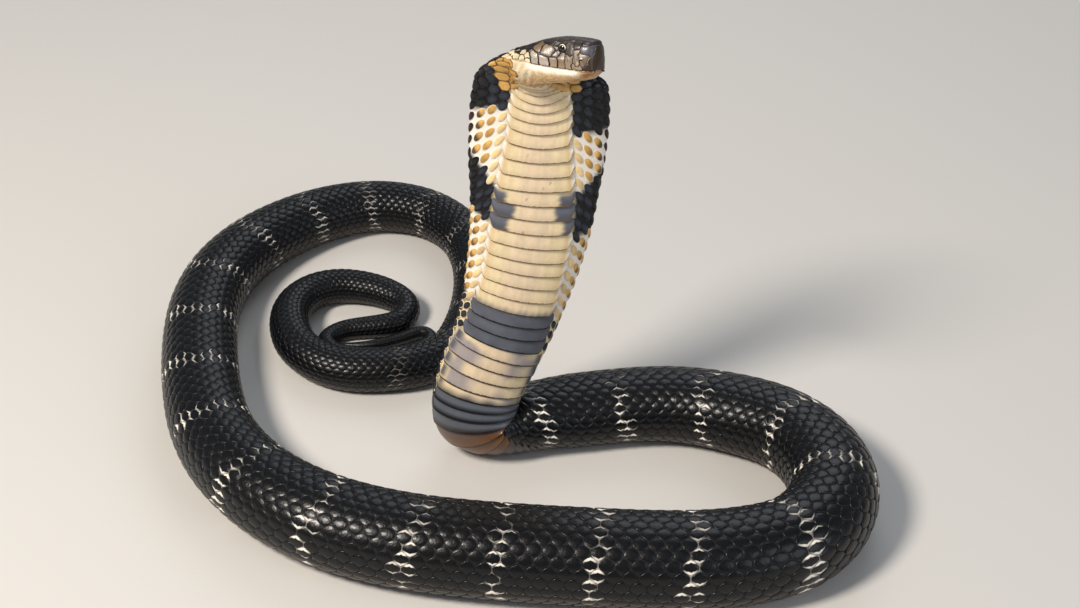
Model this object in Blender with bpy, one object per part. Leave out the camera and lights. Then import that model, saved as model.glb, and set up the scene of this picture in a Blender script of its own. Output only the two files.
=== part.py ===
# King cobra, life size, reared with its hood spread: one long body swept along a route.
# Units are metres, +Z is up, and the belly rests on the floor at Z = 0.
import bmesh
import bpy
import math
import numpy as np
from mathutils import Vector

MM = 0.001

# Driving dimensions
BOX_MIDDLE = (-0.0268, -0.1092)   # middle of the floor box that the coils fill, in route coordinates
JOIN_GAP = 0.0003                 # clearance between touching lengths
HEAD_LENGTH = 0.050               # snout to the cut behind the jaws
HOOD_TOP = 0.080                  # distance from the snout where the neck's own route begins
HEAD_YAW = math.radians(34)       # the head points right and this far towards the viewer
HEAD_PITCH = math.radians(15.5)   # snout raised
HEAD_ROLL = math.radians(19)      # throat turned towards the viewer
SNOUT = (0.0353, -0.207, 0.3263)  # middle of the mouth opening at the snout
EYE_RADIUS = 0.0033
EYE_FROM_SNOUT = 0.0188
EYE_HEIGHT = 0.0112               # eye centre above the mouth line
EYE_SINK = 0.0015                 # eye centre below the cheek surface
SOCKET_CLEARANCE = 0.0003
NOSTRIL_RADIUS = 0.0012
NOSTRIL_FROM_SNOUT = 0.0062
NOSTRIL_HEIGHT = 0.0032
SCUTE_PITCH = 0.0105              # length of one belly scute
SCUTE_LIFT = 0.0011               # how far the free edge of a scute stands up
SCUTE_LIP = 0.0006                # length of the step down to the next scute
FIRST_SCUTE = 0.0885              # distance from the snout to the edge of the first belly scute
SCUTE_BEND = 0.300                # past here the scutes fan out round the bend onto the floor
SCUTE_BEND_PITCH = 0.0075         # their length there, along the middle of the body
SCUTE_END = 0.382                 # past here the belly lies on the floor
FINE_STEP = 0.005                 # spacing of the rings where the nape flares and the base bends
FLOOR_SQUEEZE = 0.94              # share of the belly depth left where the weight flattens it
HALF_SIDES = 14                   # points from the spine round one side to the belly
SIDE_POINT = 6                    # the widest point of a section
SCUTE_POINT = 9                   # the outer end of a belly scute

# Route of the reared part behind the head, in millimetres: x, y, z
REARED_ROUTE = [
    (0.5, -165, 290), (-0.5, -164.5, 262), (-2, -165, 238), (-3.5, -166, 215), (-5.5, -167, 193),
    (-9, -168, 168), (-13.5, -169, 145), (-19.5, -169.5, 121), (-26, -170, 100),
    (-34, -172, 80), (-41, -175.5, 61), (-44.5, -178.5, 44), (-43, -178.5, 30.5), (-34, -174.5, 23.5),
]

# Route of the lengths that lie on the floor, in millimetres: x, y
FLOOR_ROUTE = [
    (-20, -168.5), (-3, -163.5), (18, -159), (42, -155), (70, -152), (98, -153), (134, -163),
    (168, -182), (190, -212), (196, -248), (186, -278), (164, -301), (133, -313), (100, -317),
    (39, -315), (-26, -309), (-90, -298), (-137, -281), (-173, -258), (-204, -226),
    (-227, -187), (-242, -139), (-251, -88), (-254, -38), (-247, 6), (-230, 43), (-205, 73),
    (-171, 98), (-133, 110), (-93, 101), (-65, 73), (-50, 26), (-50, -19), (-58, -59),
    (-73, -87), (-95, -99), (-118, -103), (-141, -102), (-163, -92), (-181, -72), (-189, -49),
    (-189, -24), (-178, -4), (-159, 6), (-136, 5), (-115, -4), (-103, -19), (-107, -34),
    (-122, -40), (-139, -42), (-154, -47), (-161, -57), (-155, -68), (-141, -73), (-121, -73),
    (-102, -69), (-89, -62), (-83, -52), (-88, -44), (-99, -47), (-111, -53), (-124, -57),
    (-138, -58), (-151, -56),
]

# Sections along the body, in millimetres:
# distance from the snout, half width, back depth, belly depth, scute half width, edge sharpness
BODY_SECTIONS = [
    (80, 43, 13, 11, 19, 1.65), (92, 44.8, 13, 11, 20, 1.6), (108, 45.2, 13, 11, 20.5, 1.6),
    (135, 44.5, 14, 12, 24, 1.65), (165, 42.3, 15, 13, 27, 1.7), (195, 39.8, 16, 14, 28, 1.8),
    (225, 37.3, 17, 15, 27.5, 1.85), (250, 35.2, 18, 16.5, 28.5, 1.9), (275, 33.4, 20, 18, 29, 2),
    (300, 32.2, 21.5, 19.5, 28.5, 2), (330, 31, 23, 21, 26, 2), (390, 30, 24, 22, 24, 2.05),
    (460, 29.5, 25, 23, 23, 2.1), (570, 30.5, 28, 26, 24, 2.15), (660, 32, 30, 28, 25, 2.2),
    (750, 32.7, 30.5, 28.5, 25, 2.2), (990, 32, 30, 28, 25, 2.2), (1160, 29, 27.5, 25.5, 23, 2.15),
    (1340, 26.4, 25.5, 24, 21, 2.1), (1440, 24.2, 23.5, 22, 19, 2.05), (1510, 21.8, 21.2, 20, 17, 2),
    (1640, 19.2, 18.7, 17.6, 15, 2), (1780, 16.8, 16.4, 15.5, 13, 2), (1890, 16, 15.6, 14.7, 12, 2),
    (1970, 14.3, 14, 13.2, 10.5, 2), (2014, 12.6, 12.3, 11.6, 9, 2), (2050, 10.4, 10.2, 9.6, 7.5, 2),
    (2114, 7.6, 7.5, 7.1, 5.6, 2), (2187, 6, 5.9, 5.6, 4.4, 2), (2240, 4.9, 4.8, 4.5, 3.6, 2),
    (2275, 3.2, 3.2, 3, 2.4, 2), (2294, 1.3, 1.3, 1.2, 0.9, 2),
]

# Head stations, in millimetres: distance from the snout, crown height, crown half width,
# cheek half width, chin half width, chin depth
HEAD_STATIONS = [
    (0, 13.4, 4.4, 6.0, 2.4, 1.0), (0.8, 14.8, 5.4, 7.6, 4.0, 2.2), (2.2, 15.6, 6.2, 8.8, 5.2, 3.4),
    (5, 16.2, 6.8, 9.9, 6.3, 4.8), (10, 16.8, 7.5, 11.2, 7.5, 5.9), (16, 17.2, 8.6, 12.4, 8.6, 6.9),
    (23.5, 17.4, 10.3, 14.2, 10.0, 8.2), (32, 16.7, 11.6, 16.8, 11.8, 9.6),
    (40, 14.8, 12.8, 18.8, 13.0, 11.0), (48, 12.4, 13.4, 19.6, 13.6, 12.2),
    (56, 11.2, 13.4, 19.4, 13.8, 12.8),
]
LIP_HEIGHT = 0.0009               # the lips meet this far above and below the mouth line
MOUTH_GROOVE = 0.0011             # depth of the line of the mouth
MOUTH_CORNER = 0.042              # distance from the snout to the corner of the mouth
MOUTH_HANG = 0.0029               # how much lower the lips lie at the snout than at the corner of the mouth
MOUTH_RISE = 0.065                # rise of the line of the mouth per length towards its corner
NAPE_PULL = 0.15                  # least pull along the head or neck where the nape flares out
BEND_LIMIT = 0.9                  # share of a bend's radius that its inner side may fill

# Cuts between the nodes: name, distance of its far end from the snout, ring spacing, colour
LENGTHS = [
    ("hood_upper", 0.150, SCUTE_PITCH, "cream"), ("hood_lower", 0.218, SCUTE_PITCH, "cream"),
    ("neck", 0.280, SCUTE_PITCH, "cream"), ("neck_base", 0.395, SCUTE_PITCH, "slate"),
    ("body_01", 0.465, 0.016, "black"), ("body_02", 0.555, 0.016, "black"),
    ("body_03", 0.650, 0.016, "black"), ("body_04", 0.780, 0.017, "black"),
    ("body_05", 0.910, 0.018, "black"), ("body_06", 1.030, 0.018, "black"),
    ("body_07", 1.150, 0.018, "black"), ("body_08", 1.270, 0.018, "black"),
    ("body_09", 1.380, 0.017, "black"), ("body_10", 1.490, 0.016, "black"),
    ("body_11", 1.610, 0.016, "black"), ("body_12", 1.710, 0.016, "black"),
    ("tail_01", 1.790, 0.013, "black"), ("tail_02", 1.870, 0.013, "black"),
    ("tail_03", 1.950, 0.013, "black"), ("tail_04", 2.020, 0.011, "black"),
    ("tail_05", 2.090, 0.008, "black"), ("tail_06", 2.160, 0.006, "black"),
    ("tail_07", 2.240, 0.004, "black"), ("tail_tip", 9.0, 0.006, "black"),
]
COLOURS = {
    "cream": ((0.80, 0.66, 0.40), 0.45), "slate": ((0.10, 0.11, 0.13), 0.40),
    "black": ((0.012, 0.013, 0.016), 0.32), "brown": ((0.13, 0.085, 0.065), 0.35),
    "eye": ((0.02, 0.016, 0.012), 0.08),
}


def clear_scene():
    for item in list(bpy.data.objects):
        bpy.data.objects.remove(item, do_unlink=True)


def make_material(name):
    colour, roughness = COLOURS[name]
    material = bpy.data.materials.new("cobra_" + name)
    material.use_nodes = True
    shader = material.node_tree.nodes["Principled BSDF"]
    shader.inputs["Base Color"].default_value = (*colour, 1.0)
    shader.inputs["Roughness"].default_value = roughness
    shader.inputs["Metallic"].default_value = 0.0
    material.diffuse_color = (*colour, 1.0)
    return material


def slopes(x, y):
    """Slopes of a smooth curve through the points that never overshoots them."""
    step = np.diff(x)
    rise = np.diff(y) / step
    inner = np.zeros(len(x))
    for i in range(1, len(x) - 1):
        if rise[i - 1] * rise[i] > 0:
            near = 2 * step[i] + step[i - 1]
            far = step[i] + 2 * step[i - 1]
            inner[i] = (near + far) / (near / rise[i - 1] + far / rise[i])
    inner[0] = rise[0]
    inner[-1] = rise[-1]
    return inner


def read_table(table, where):
    """Every column of a table of sections, in metres, at one distance from the snout."""
    rows = np.array(table, dtype=float)
    x = rows[:, 0] * MM
    where = min(max(where, x[0]), x[-1])
    k = min(int(np.searchsorted(x, where, side="right")) - 1, len(x) - 2)
    span = x[k + 1] - x[k]
    u = (where - x[k]) / span
    values = []
    for column in rows[:, 1:].T:
        slope = slopes(x, column)
        values.append(
            (1 + 2 * u) * (1 - u) ** 2 * column[k] + u * (1 - u) ** 2 * span * slope[k]
            + u * u * (3 - 2 * u) * column[k + 1] + u * u * (u - 1) * span * slope[k + 1]
        )
    return values


def head_axes():
    """Unit vectors of the head: forwards, and towards its throat."""
    level = math.cos(HEAD_PITCH)
    forward = Vector((math.cos(HEAD_YAW) * level, -math.sin(HEAD_YAW) * level, math.sin(HEAD_PITCH)))
    down = Vector((0, 0, -1))
    down = (down - forward * down.dot(forward)).normalized()
    viewer_side = Vector((-math.sin(HEAD_YAW), -math.cos(HEAD_YAW), 0))
    throat = down * math.cos(HEAD_ROLL) + viewer_side * math.sin(HEAD_ROLL)
    return forward, throat.normalized()


def cubic_through(points, at):
    """Natural cubic curve through points, read at many places along its chord length."""
    chord = np.linalg.norm(np.diff(points, axis=0), axis=1)
    t = np.concatenate([[0.0], np.cumsum(chord)])
    size = len(t)
    matrix = np.eye(size)
    right = np.zeros((size, points.shape[1]))
    for i in range(1, size - 1):
        before = t[i] - t[i - 1]
        after = t[i + 1] - t[i]
        matrix[i, i - 1:i + 2] = (before, 2 * (before + after), after)
        right[i] = 6 * ((points[i + 1] - points[i]) / after - (points[i] - points[i - 1]) / before)
    bend = np.linalg.solve(matrix, right)
    where = at * t[-1]
    k = np.clip(np.searchsorted(t, where, side="right") - 1, 0, size - 2)
    step = (t[k + 1] - t[k])[:, None]
    a = (t[k + 1] - where)[:, None]
    b = (where - t[k])[:, None]
    return (
        (bend[k] * a ** 3 + bend[k + 1] * b ** 3) / (6 * step)
        + (points[k] / step - bend[k] * step / 6) * a
        + (points[k + 1] / step - bend[k + 1] * step / 6) * b
    )


class Route:
    """The centre line from the snout to the tail tip, with the way the belly faces."""

    def __init__(self):
        self.forward, self.throat = (np.array(axis) for axis in head_axes())
        self.shift = np.array((*BOX_MIDDLE, 0.0))
        reared = [np.array(point) * MM for point in REARED_ROUTE]
        floor = [np.array((x, y, 0.0)) * MM for x, y in FLOOR_ROUTE]
        knots = np.array(reared + floor)
        # A length on the floor rides at its belly depth, found once the distances are known
        for _ in range(3):
            chord = np.concatenate([[0.0], np.cumsum(np.linalg.norm(np.diff(knots, axis=0), axis=1))])
            for i in range(len(reared), len(knots)):
                depth = read_table(BODY_SECTIONS, HOOD_TOP + chord[i])[2]
                knots[i, 2] = depth * MM * FLOOR_SQUEEZE
        self.dense = cubic_through(knots, np.linspace(0, 1, 9000))
        walked = np.cumsum(np.linalg.norm(np.diff(self.dense, axis=0), axis=1))
        self.distance = HOOD_TOP + np.concatenate([[0.0], walked])
        self.length = self.distance[-1]
        # Which way the belly faces: the viewer on the neck, then down on the floor
        self.faces = np.array([
            (0.0, 0, -1, 0), (0.305, 0, -1, 0), (0.330, -0.1, -0.95, -0.15), (0.350, -0.15, -0.85, -0.5),
            (0.367, -0.1, -0.6, -0.8), (0.387, 0, -0.3, -0.95), (0.420, 0, 0, -1), (9.0, 0, 0, -1),
        ])

    def point(self, along):
        if along <= HEAD_LENGTH + 2 * JOIN_GAP:
            return np.array(SNOUT) - self.shift - self.forward * along
        return np.array([np.interp(along, self.distance, self.dense[:, k]) for k in range(3)]) - self.shift

    def direction(self, along):
        if along <= HEAD_LENGTH + 2 * JOIN_GAP:
            return -self.forward
        reach = 0.0015
        ahead = self.point(max(along - reach, HOOD_TOP))
        behind = self.point(min(along + reach, self.length))
        return (behind - ahead) / np.linalg.norm(behind - ahead)

    def frame(self, along):
        """Centre, direction towards the tail, towards the belly, and towards the animal's right."""
        tailward = self.direction(along)
        if along <= HEAD_LENGTH + 2 * JOIN_GAP:
            belly = self.throat
        else:
            belly = np.array([np.interp(along, self.faces[:, 0], self.faces[:, k]) for k in (1, 2, 3)])
        belly = belly - tailward * belly.dot(tailward)
        belly = belly / np.linalg.norm(belly)
        return self.point(along), tailward, belly, np.cross(tailward, belly)

    def bend(self, along):
        """The curvature of the centre line: towards the middle of the bend, one over its radius."""
        reach = 0.005
        before = max(along - reach, HOOD_TOP)
        after = min(along + reach, self.length)
        return (self.direction(after) - self.direction(before)) / (after - before)


def body_outline(along):
    """Half a body section from the spine to the belly: (sideways, towards the belly)."""
    width, back, belly, scute, sharp = read_table(BODY_SECTIONS, along)
    power = 2 / sharp
    outline = []
    for step in range(SIDE_POINT + 1):
        angle = math.radians(90) * (1 - step / SIDE_POINT)
        outline.append((width * max(math.cos(angle), 0) ** power, -back * math.sin(angle) ** power))
    edge = math.acos((scute / width) ** (1 / power))
    for step in range(1, SCUTE_POINT - SIDE_POINT + 1):
        angle = edge * step / (SCUTE_POINT - SIDE_POINT)
        outline.append((width * math.cos(angle) ** power, belly * math.sin(angle) ** power))
    for step in range(1, HALF_SIDES - SCUTE_POINT + 1):
        angle = edge + (math.radians(90) - edge) * step / (HALF_SIDES - SCUTE_POINT)
        outline.append((width * max(math.cos(angle), 0) ** power, belly * math.sin(angle) ** power))
    return np.array(outline) * MM


def head_outline(along):
    """Half a head section from the crown to the chin, with the lips and the line of the mouth."""
    crown, crown_width, cheek, chin_width, chin = read_table(HEAD_STATIONS, along)
    lip = LIP_HEIGHT / MM
    groove = MOUTH_GROOVE / MM * min(max((MOUTH_CORNER - along) / 0.004, 0), 1)
    brow = 0.9 * math.exp(-((along - EYE_FROM_SNOUT) / 0.0050) ** 2)
    orbit = 1.0 * math.exp(-((along - EYE_FROM_SNOUT) / 0.0045) ** 2)
    slope = cheek - crown_width
    rise = MOUTH_RISE * along / MM
    outline = [
        (0, -crown), (0.5 * crown_width, -crown + 0.2), (0.84 * crown_width, -crown + 0.8),
        (crown_width + brow, -crown + 2.3), (crown_width + 0.48 * slope - orbit, -0.73 * crown),
        (crown_width + 0.80 * slope - orbit, -0.52 * crown - 0.2 * rise),
        (cheek, -0.28 * crown - 0.6 * rise),
        (0.985 * cheek, -lip - rise), (0.95 * cheek - groove, -rise), (0.955 * cheek, lip - rise),
        (0.5 * (cheek + chin_width) + 0.9, 0.44 * chin - 0.5 * rise), (chin_width, 0.76 * chin),
        (0.66 * chin_width, 0.94 * chin), (0.32 * chin_width, chin), (0, chin),
    ]
    outline = np.array(outline)
    hang = MOUTH_HANG / MM * max(1 - (along / MOUTH_CORNER) ** 2, 0)
    outline[5:7, 1] += (0.2 * hang, 0.5 * hang)
    outline[7:, 1] += hang
    return outline * MM


def section_points(route, along, scute_lift):
    """One closed ring of points: spine, right side, belly, left side."""
    centre, _, belly, right = route.frame(along)
    on_head = along <= HEAD_LENGTH + 2 * JOIN_GAP
    outline = head_outline(along) if on_head else body_outline(along)
    for i in range(SCUTE_POINT, HALF_SIDES + 1):
        outline[i, 1] += scute_lift * min(1.0, (i - SCUTE_POINT + 1) * 0.5)
    offsets = [right * x + belly * z for x, z in outline]
    offsets += [belly * z - right * x for x, z in outline[-2:0:-1]]
    offsets = np.array(offsets)
    if not on_head:
        # Inside a tight bend the flesh is squeezed together instead of folding over itself
        bend = route.bend(along)
        tightness = np.linalg.norm(bend)
        if tightness > 0.5:
            inward = bend / tightness
            limit = BEND_LIMIT / tightness
            reach = offsets @ inward
            squeezed = np.where(reach > 0, limit * np.tanh(reach / limit), reach)
            offsets += np.outer(squeezed - reach, inward)
    ring = centre + offsets
    ring[:, 2] = np.maximum(ring[:, 2], 0.0)
    return ring


def ring_at(route, along, scute_lift=0.0):
    """A ring anywhere: behind the jaws each line of the skin flares from the head to the hood."""
    start = HEAD_LENGTH + JOIN_GAP
    if along <= start or along >= HOOD_TOP:
        return section_points(route, along, scute_lift)
    jaws = section_points(route, start, 0.0)
    hood = section_points(route, HOOD_TOP, 0.0)
    chord = hood - jaws
    least = NAPE_PULL * np.linalg.norm(chord, axis=1)
    leave = np.outer(np.maximum(chord @ route.direction(start), least), route.direction(start))
    arrive = np.outer(np.maximum(chord @ route.direction(HOOD_TOP), least), route.direction(HOOD_TOP))
    u = (along - start) / (HOOD_TOP - start)
    return (
        (1 + 2 * u) * (1 - u) ** 2 * jaws + u * (1 - u) ** 2 * leave
        + u * u * (3 - 2 * u) * hood + u * u * (u - 1) * arrive
    )


def sweep(name, rings, material):
    """A closed body through a list of rings, capped flat at both ends."""
    mesh = bpy.data.meshes.new(name)
    built = bmesh.new()
    rows = [[built.verts.new(point) for point in ring] for ring in rings]
    sides = len(rows[0])
    for near, far in zip(rows, rows[1:]):
        for i in range(sides):
            built.faces.new((near[i], near[(i + 1) % sides], far[(i + 1) % sides], far[i]))
    built.faces.new(rows[0])
    built.faces.new(rows[-1])
    bmesh.ops.recalc_face_normals(built, faces=built.faces)
    built.to_mesh(mesh)
    built.free()
    mesh.shade_smooth()
    mesh.set_sharp_from_angle(angle=math.radians(50))
    mesh.materials.append(material)
    item = bpy.data.objects.new(name, mesh)
    bpy.context.collection.objects.link(item)
    return item


def ring_places(start, end, spacing):
    count = max(2, round((end - start) / spacing))
    return [start + (end - start) * i / count for i in range(count + 1)]


def scute_edges():
    """Distances from the snout at which the scutes of the reared part end."""
    edges = [FIRST_SCUTE]
    while edges[-1] < SCUTE_END:
        pitch = SCUTE_PITCH if edges[-1] < SCUTE_BEND else SCUTE_BEND_PITCH
        edges.append(edges[-1] + pitch)
    return edges


def plated_rings(route, start, end):
    """Rings with a raised, stepped edge at the tailward end of every belly scute."""
    margin = 2 * SCUTE_LIP
    rings = [ring_at(route, start)]
    if start < HOOD_TOP:
        rings += [ring_at(route, place) for place in ring_places(start, HOOD_TOP, FINE_STEP)[1:]]
    for edge in scute_edges():
        if start + margin < edge < end - margin - SCUTE_LIP:
            if edge > SCUTE_BEND + SCUTE_PITCH:
                rings.append(ring_at(route, edge - SCUTE_BEND_PITCH / 2, SCUTE_LIFT / 2))
            rings.append(ring_at(route, edge, SCUTE_LIFT))
            rings.append(ring_at(route, edge + SCUTE_LIP))
    rings.append(ring_at(route, end))
    return rings


def make_ball(name, radius, rings, segments):
    mesh = bpy.data.meshes.new(name)
    built = bmesh.new()
    bmesh.ops.create_uvsphere(built, u_segments=segments, v_segments=rings, radius=radius)
    built.to_mesh(mesh)
    built.free()
    mesh.shade_smooth()
    item = bpy.data.objects.new(name, mesh)
    bpy.context.collection.objects.link(item)
    return item


def cheek_point(route, along, height, side, sink):
    """A point under the side of the head, and the head's own axes there."""
    centre, tailward, belly, right = route.frame(along)
    outline = head_outline(along)
    rising = outline[::-1]
    across = np.interp(height, -rising[:, 1], rising[:, 0])
    return Vector(centre + right * side * (across - sink) - belly * height)


def carve(item, cutters):
    for cutter in cutters:
        cutter.hide_render = True
        cutter.display_type = "WIRE"
        cut = item.modifiers.new(cutter.name, "BOOLEAN")
        cut.operation = "DIFFERENCE"
        cut.solver = "EXACT"
        cut.object = cutter


def build_head(route, materials):
    places = [0, 0.0008, 0.0022, 0.0045, 0.0075, 0.011, 0.0145, 0.018, 0.021, 0.0235, 0.026, 0.029]
    places += [0.033, 0.037, 0.0405, 0.0435, 0.0465]
    places.append(HEAD_LENGTH - JOIN_GAP / 2)
    head = sweep("head", [ring_at(route, place) for place in places], materials["brown"])
    cutters = []
    for label, side in (("right", 1), ("left", -1)):
        centre = cheek_point(route, EYE_FROM_SNOUT, EYE_HEIGHT, side, EYE_SINK)
        eye = make_ball("eye_" + label, EYE_RADIUS, 10, 20)
        eye.location = centre
        eye.data.materials.append(materials["eye"])
        socket = make_ball("socket_" + label, EYE_RADIUS + SOCKET_CLEARANCE, 12, 24)
        socket.location = centre
        nostril = make_ball("nostril_" + label, NOSTRIL_RADIUS, 8, 12)
        nostril.location = cheek_point(route, NOSTRIL_FROM_SNOUT, NOSTRIL_HEIGHT, side, 0.0002)
        cutters += [socket, nostril]
    carve(head, cutters)


def build_lengths(route, materials):
    start = HEAD_LENGTH + JOIN_GAP / 2
    for name, far_end, spacing, colour in LENGTHS:
        last = name == "tail_tip"
        end = route.length if last else far_end - JOIN_GAP / 2
        if spacing == SCUTE_PITCH:
            rings = plated_rings(route, start, end)
        else:
            rings = [ring_at(route, place) for place in ring_places(start, end, spacing)]
        sweep(name, rings, materials[colour])
        start = end + JOIN_GAP


def main():
    clear_scene()
    materials = {name: make_material(name) for name in COLOURS}
    route = Route()
    build_head(route, materials)
    build_lengths(route, materials)


main()
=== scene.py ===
# King cobra, life size, for a museum case: skin, head shields, belly scutes, back scales and eyes.
import bpy
import math
import numpy as np
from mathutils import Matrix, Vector


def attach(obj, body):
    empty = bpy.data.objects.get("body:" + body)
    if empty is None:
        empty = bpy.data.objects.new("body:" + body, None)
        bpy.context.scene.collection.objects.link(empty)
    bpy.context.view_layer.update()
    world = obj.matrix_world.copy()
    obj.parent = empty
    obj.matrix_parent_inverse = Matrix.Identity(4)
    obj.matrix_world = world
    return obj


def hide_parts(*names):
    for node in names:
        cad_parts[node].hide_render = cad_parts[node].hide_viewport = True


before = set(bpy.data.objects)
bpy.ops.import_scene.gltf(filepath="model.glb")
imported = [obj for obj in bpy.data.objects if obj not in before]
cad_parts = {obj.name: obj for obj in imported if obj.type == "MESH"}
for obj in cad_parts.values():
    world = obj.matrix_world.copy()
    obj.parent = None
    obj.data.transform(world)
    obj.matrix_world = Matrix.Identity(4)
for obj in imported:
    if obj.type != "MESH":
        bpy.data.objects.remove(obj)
bpy.context.view_layer.update()
print("frame loaded:", len(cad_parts), "solids")

mm = 0.001
rng = np.random.default_rng(11)

# the route and the sections, as in the solids, in millimetres
routeShape = {
    "boxMiddle": (-26.8, -109.2),
    "snout": (35.3, -207, 326.3),
    "yaw": 34, "pitch": 15.5, "roll": 19,
    "jaws": 50.3, "hoodTop": 80, "mouthHang": 2.9, "mouthCorner": 42,
    "floorSqueeze": 0.94, "napePull": 0.15, "bendLimit": 0.9,
    "reared": [
        (0.5, -165, 290), (-0.5, -164.5, 262), (-2, -165, 238), (-3.5, -166, 215), (-5.5, -167, 193),
        (-9, -168, 168), (-13.5, -169, 145), (-19.5, -169.5, 121), (-26, -170, 100),
        (-34, -172, 80), (-41, -175.5, 61), (-44.5, -178.5, 44), (-43, -178.5, 30.5), (-34, -174.5, 23.5),
    ],
    "floor": [
        (-20, -168.5), (-3, -163.5), (18, -159), (42, -155), (70, -152), (98, -153), (134, -163),
        (168, -182), (190, -212), (196, -248), (186, -278), (164, -301), (133, -313), (100, -317),
        (39, -315), (-26, -309), (-90, -298), (-137, -281), (-173, -258), (-204, -226),
        (-227, -187), (-242, -139), (-251, -88), (-254, -38), (-247, 6), (-230, 43), (-205, 73),
        (-171, 98), (-133, 110), (-93, 101), (-65, 73), (-50, 26), (-50, -19), (-58, -59),
        (-73, -87), (-95, -99), (-118, -103), (-141, -102), (-163, -92), (-181, -72), (-189, -49),
        (-189, -24), (-178, -4), (-159, 6), (-136, 5), (-115, -4), (-103, -19), (-107, -34),
        (-122, -40), (-139, -42), (-154, -47), (-161, -57), (-155, -68), (-141, -73), (-121, -73),
        (-102, -69), (-89, -62), (-83, -52), (-88, -44), (-99, -47), (-111, -53), (-124, -57),
        (-138, -58), (-151, -56),
    ],
    # distance, way the belly faces
    "faces": [
        (0, 0, -1, 0), (305, 0, -1, 0), (330, -0.1, -0.95, -0.15), (350, -0.15, -0.85, -0.5),
        (367, -0.1, -0.6, -0.8), (387, 0, -0.3, -0.95), (420, 0, 0, -1), (9000, 0, 0, -1),
    ],
}
# distance from the snout, half width, back depth, belly depth, scute half width, edge sharpness
bodySections = [
    (80, 43, 13, 11, 19, 1.65), (92, 44.8, 13, 11, 20, 1.6), (108, 45.2, 13, 11, 20.5, 1.6),
    (135, 44.5, 14, 12, 24, 1.65), (165, 42.3, 15, 13, 27, 1.7), (195, 39.8, 16, 14, 28, 1.8),
    (225, 37.3, 17, 15, 27.5, 1.85), (250, 35.2, 18, 16.5, 28.5, 1.9), (275, 33.4, 20, 18, 29, 2),
    (300, 32.2, 21.5, 19.5, 28.5, 2), (330, 31, 23, 21, 26, 2), (390, 30, 24, 22, 24, 2.05),
    (460, 29.5, 25, 23, 23, 2.1), (570, 30.5, 28, 26, 24, 2.15), (660, 32, 30, 28, 25, 2.2),
    (750, 32.7, 30.5, 28.5, 25, 2.2), (990, 32, 30, 28, 25, 2.2), (1160, 29, 27.5, 25.5, 23, 2.15),
    (1340, 26.4, 25.5, 24, 21, 2.1), (1440, 24.2, 23.5, 22, 19, 2.05), (1510, 21.8, 21.2, 20, 17, 2),
    (1640, 19.2, 18.7, 17.6, 15, 2), (1780, 16.8, 16.4, 15.5, 13, 2), (1890, 16, 15.6, 14.7, 12, 2),
    (1970, 14.3, 14, 13.2, 10.5, 2), (2014, 12.6, 12.3, 11.6, 9, 2), (2050, 10.4, 10.2, 9.6, 7.5, 2),
    (2114, 7.6, 7.5, 7.1, 5.6, 2), (2187, 6, 5.9, 5.6, 4.4, 2), (2240, 4.9, 4.8, 4.5, 3.6, 2),
    (2275, 3.2, 3.2, 3, 2.4, 2), (2294, 1.3, 1.3, 1.2, 0.9, 2),
]
# distance, crown height, crown half width, cheek half width, chin half width, chin depth
headStations = [
    (0, 13.4, 4.4, 6.0, 2.4, 1.0), (0.8, 14.8, 5.4, 7.6, 4.0, 2.2), (2.2, 15.6, 6.2, 8.8, 5.2, 3.4),
    (5, 16.2, 6.8, 9.9, 6.3, 4.8), (10, 16.8, 7.5, 11.2, 7.5, 5.9), (16, 17.2, 8.6, 12.4, 8.6, 6.9),
    (23.5, 17.4, 10.3, 14.2, 10.0, 8.2), (32, 16.7, 11.6, 16.8, 11.8, 9.6),
    (40, 14.8, 12.8, 18.8, 13.0, 11.0), (48, 12.4, 13.4, 19.6, 13.6, 12.2),
    (56, 11.2, 13.4, 19.4, 13.8, 12.8),
]
eyeShape = {"radius": 3.3, "fromSnout": 18.8, "height": 11.2, "sink": 1.5}


def ramp(x, low, high):
    t = np.clip((x - low) / (high - low), 0, 1)
    return t * t * (3 - 2 * t)


def plateau(x, start, full, falling, end):
    # rises from start to full, falls from falling to end
    return ramp(x, start, full) * (1 - ramp(x, falling, end))


def walked(points):
    # how far along a line each of its points lies
    return np.concatenate([[0.0], np.cumsum(np.linalg.norm(np.diff(points, axis=0), axis=1))])


def readTable(table, where):
    # every column at many distances, on a smooth curve that never overshoots
    rows = np.array(table, dtype=float)
    x = rows[:, 0]
    where = np.clip(where, x[0], x[-1])
    k = np.clip(np.searchsorted(x, where, side="right") - 1, 0, len(x) - 2)
    span = x[k + 1] - x[k]
    t = (where - x[k]) / span
    columns = []
    for y in rows[:, 1:].T:
        step = np.diff(x)
        rise = np.diff(y) / step
        near = 2 * step[1:] + step[:-1]
        far = step[1:] + 2 * step[:-1]
        same = rise[:-1] * rise[1:] > 0
        safeA = np.where(same, rise[:-1], 1)
        safeB = np.where(same, rise[1:], 1)
        inner = np.where(same, (near + far) / (near / safeA + far / safeB), 0)
        slope = np.concatenate([[rise[0]], inner, [rise[-1]]])
        columns.append(
            (1 + 2 * t) * (1 - t) ** 2 * y[k] + t * (1 - t) ** 2 * span * slope[k]
            + t * t * (3 - 2 * t) * y[k + 1] + t * t * (t - 1) * span * slope[k + 1]
        )
    return columns


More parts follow.
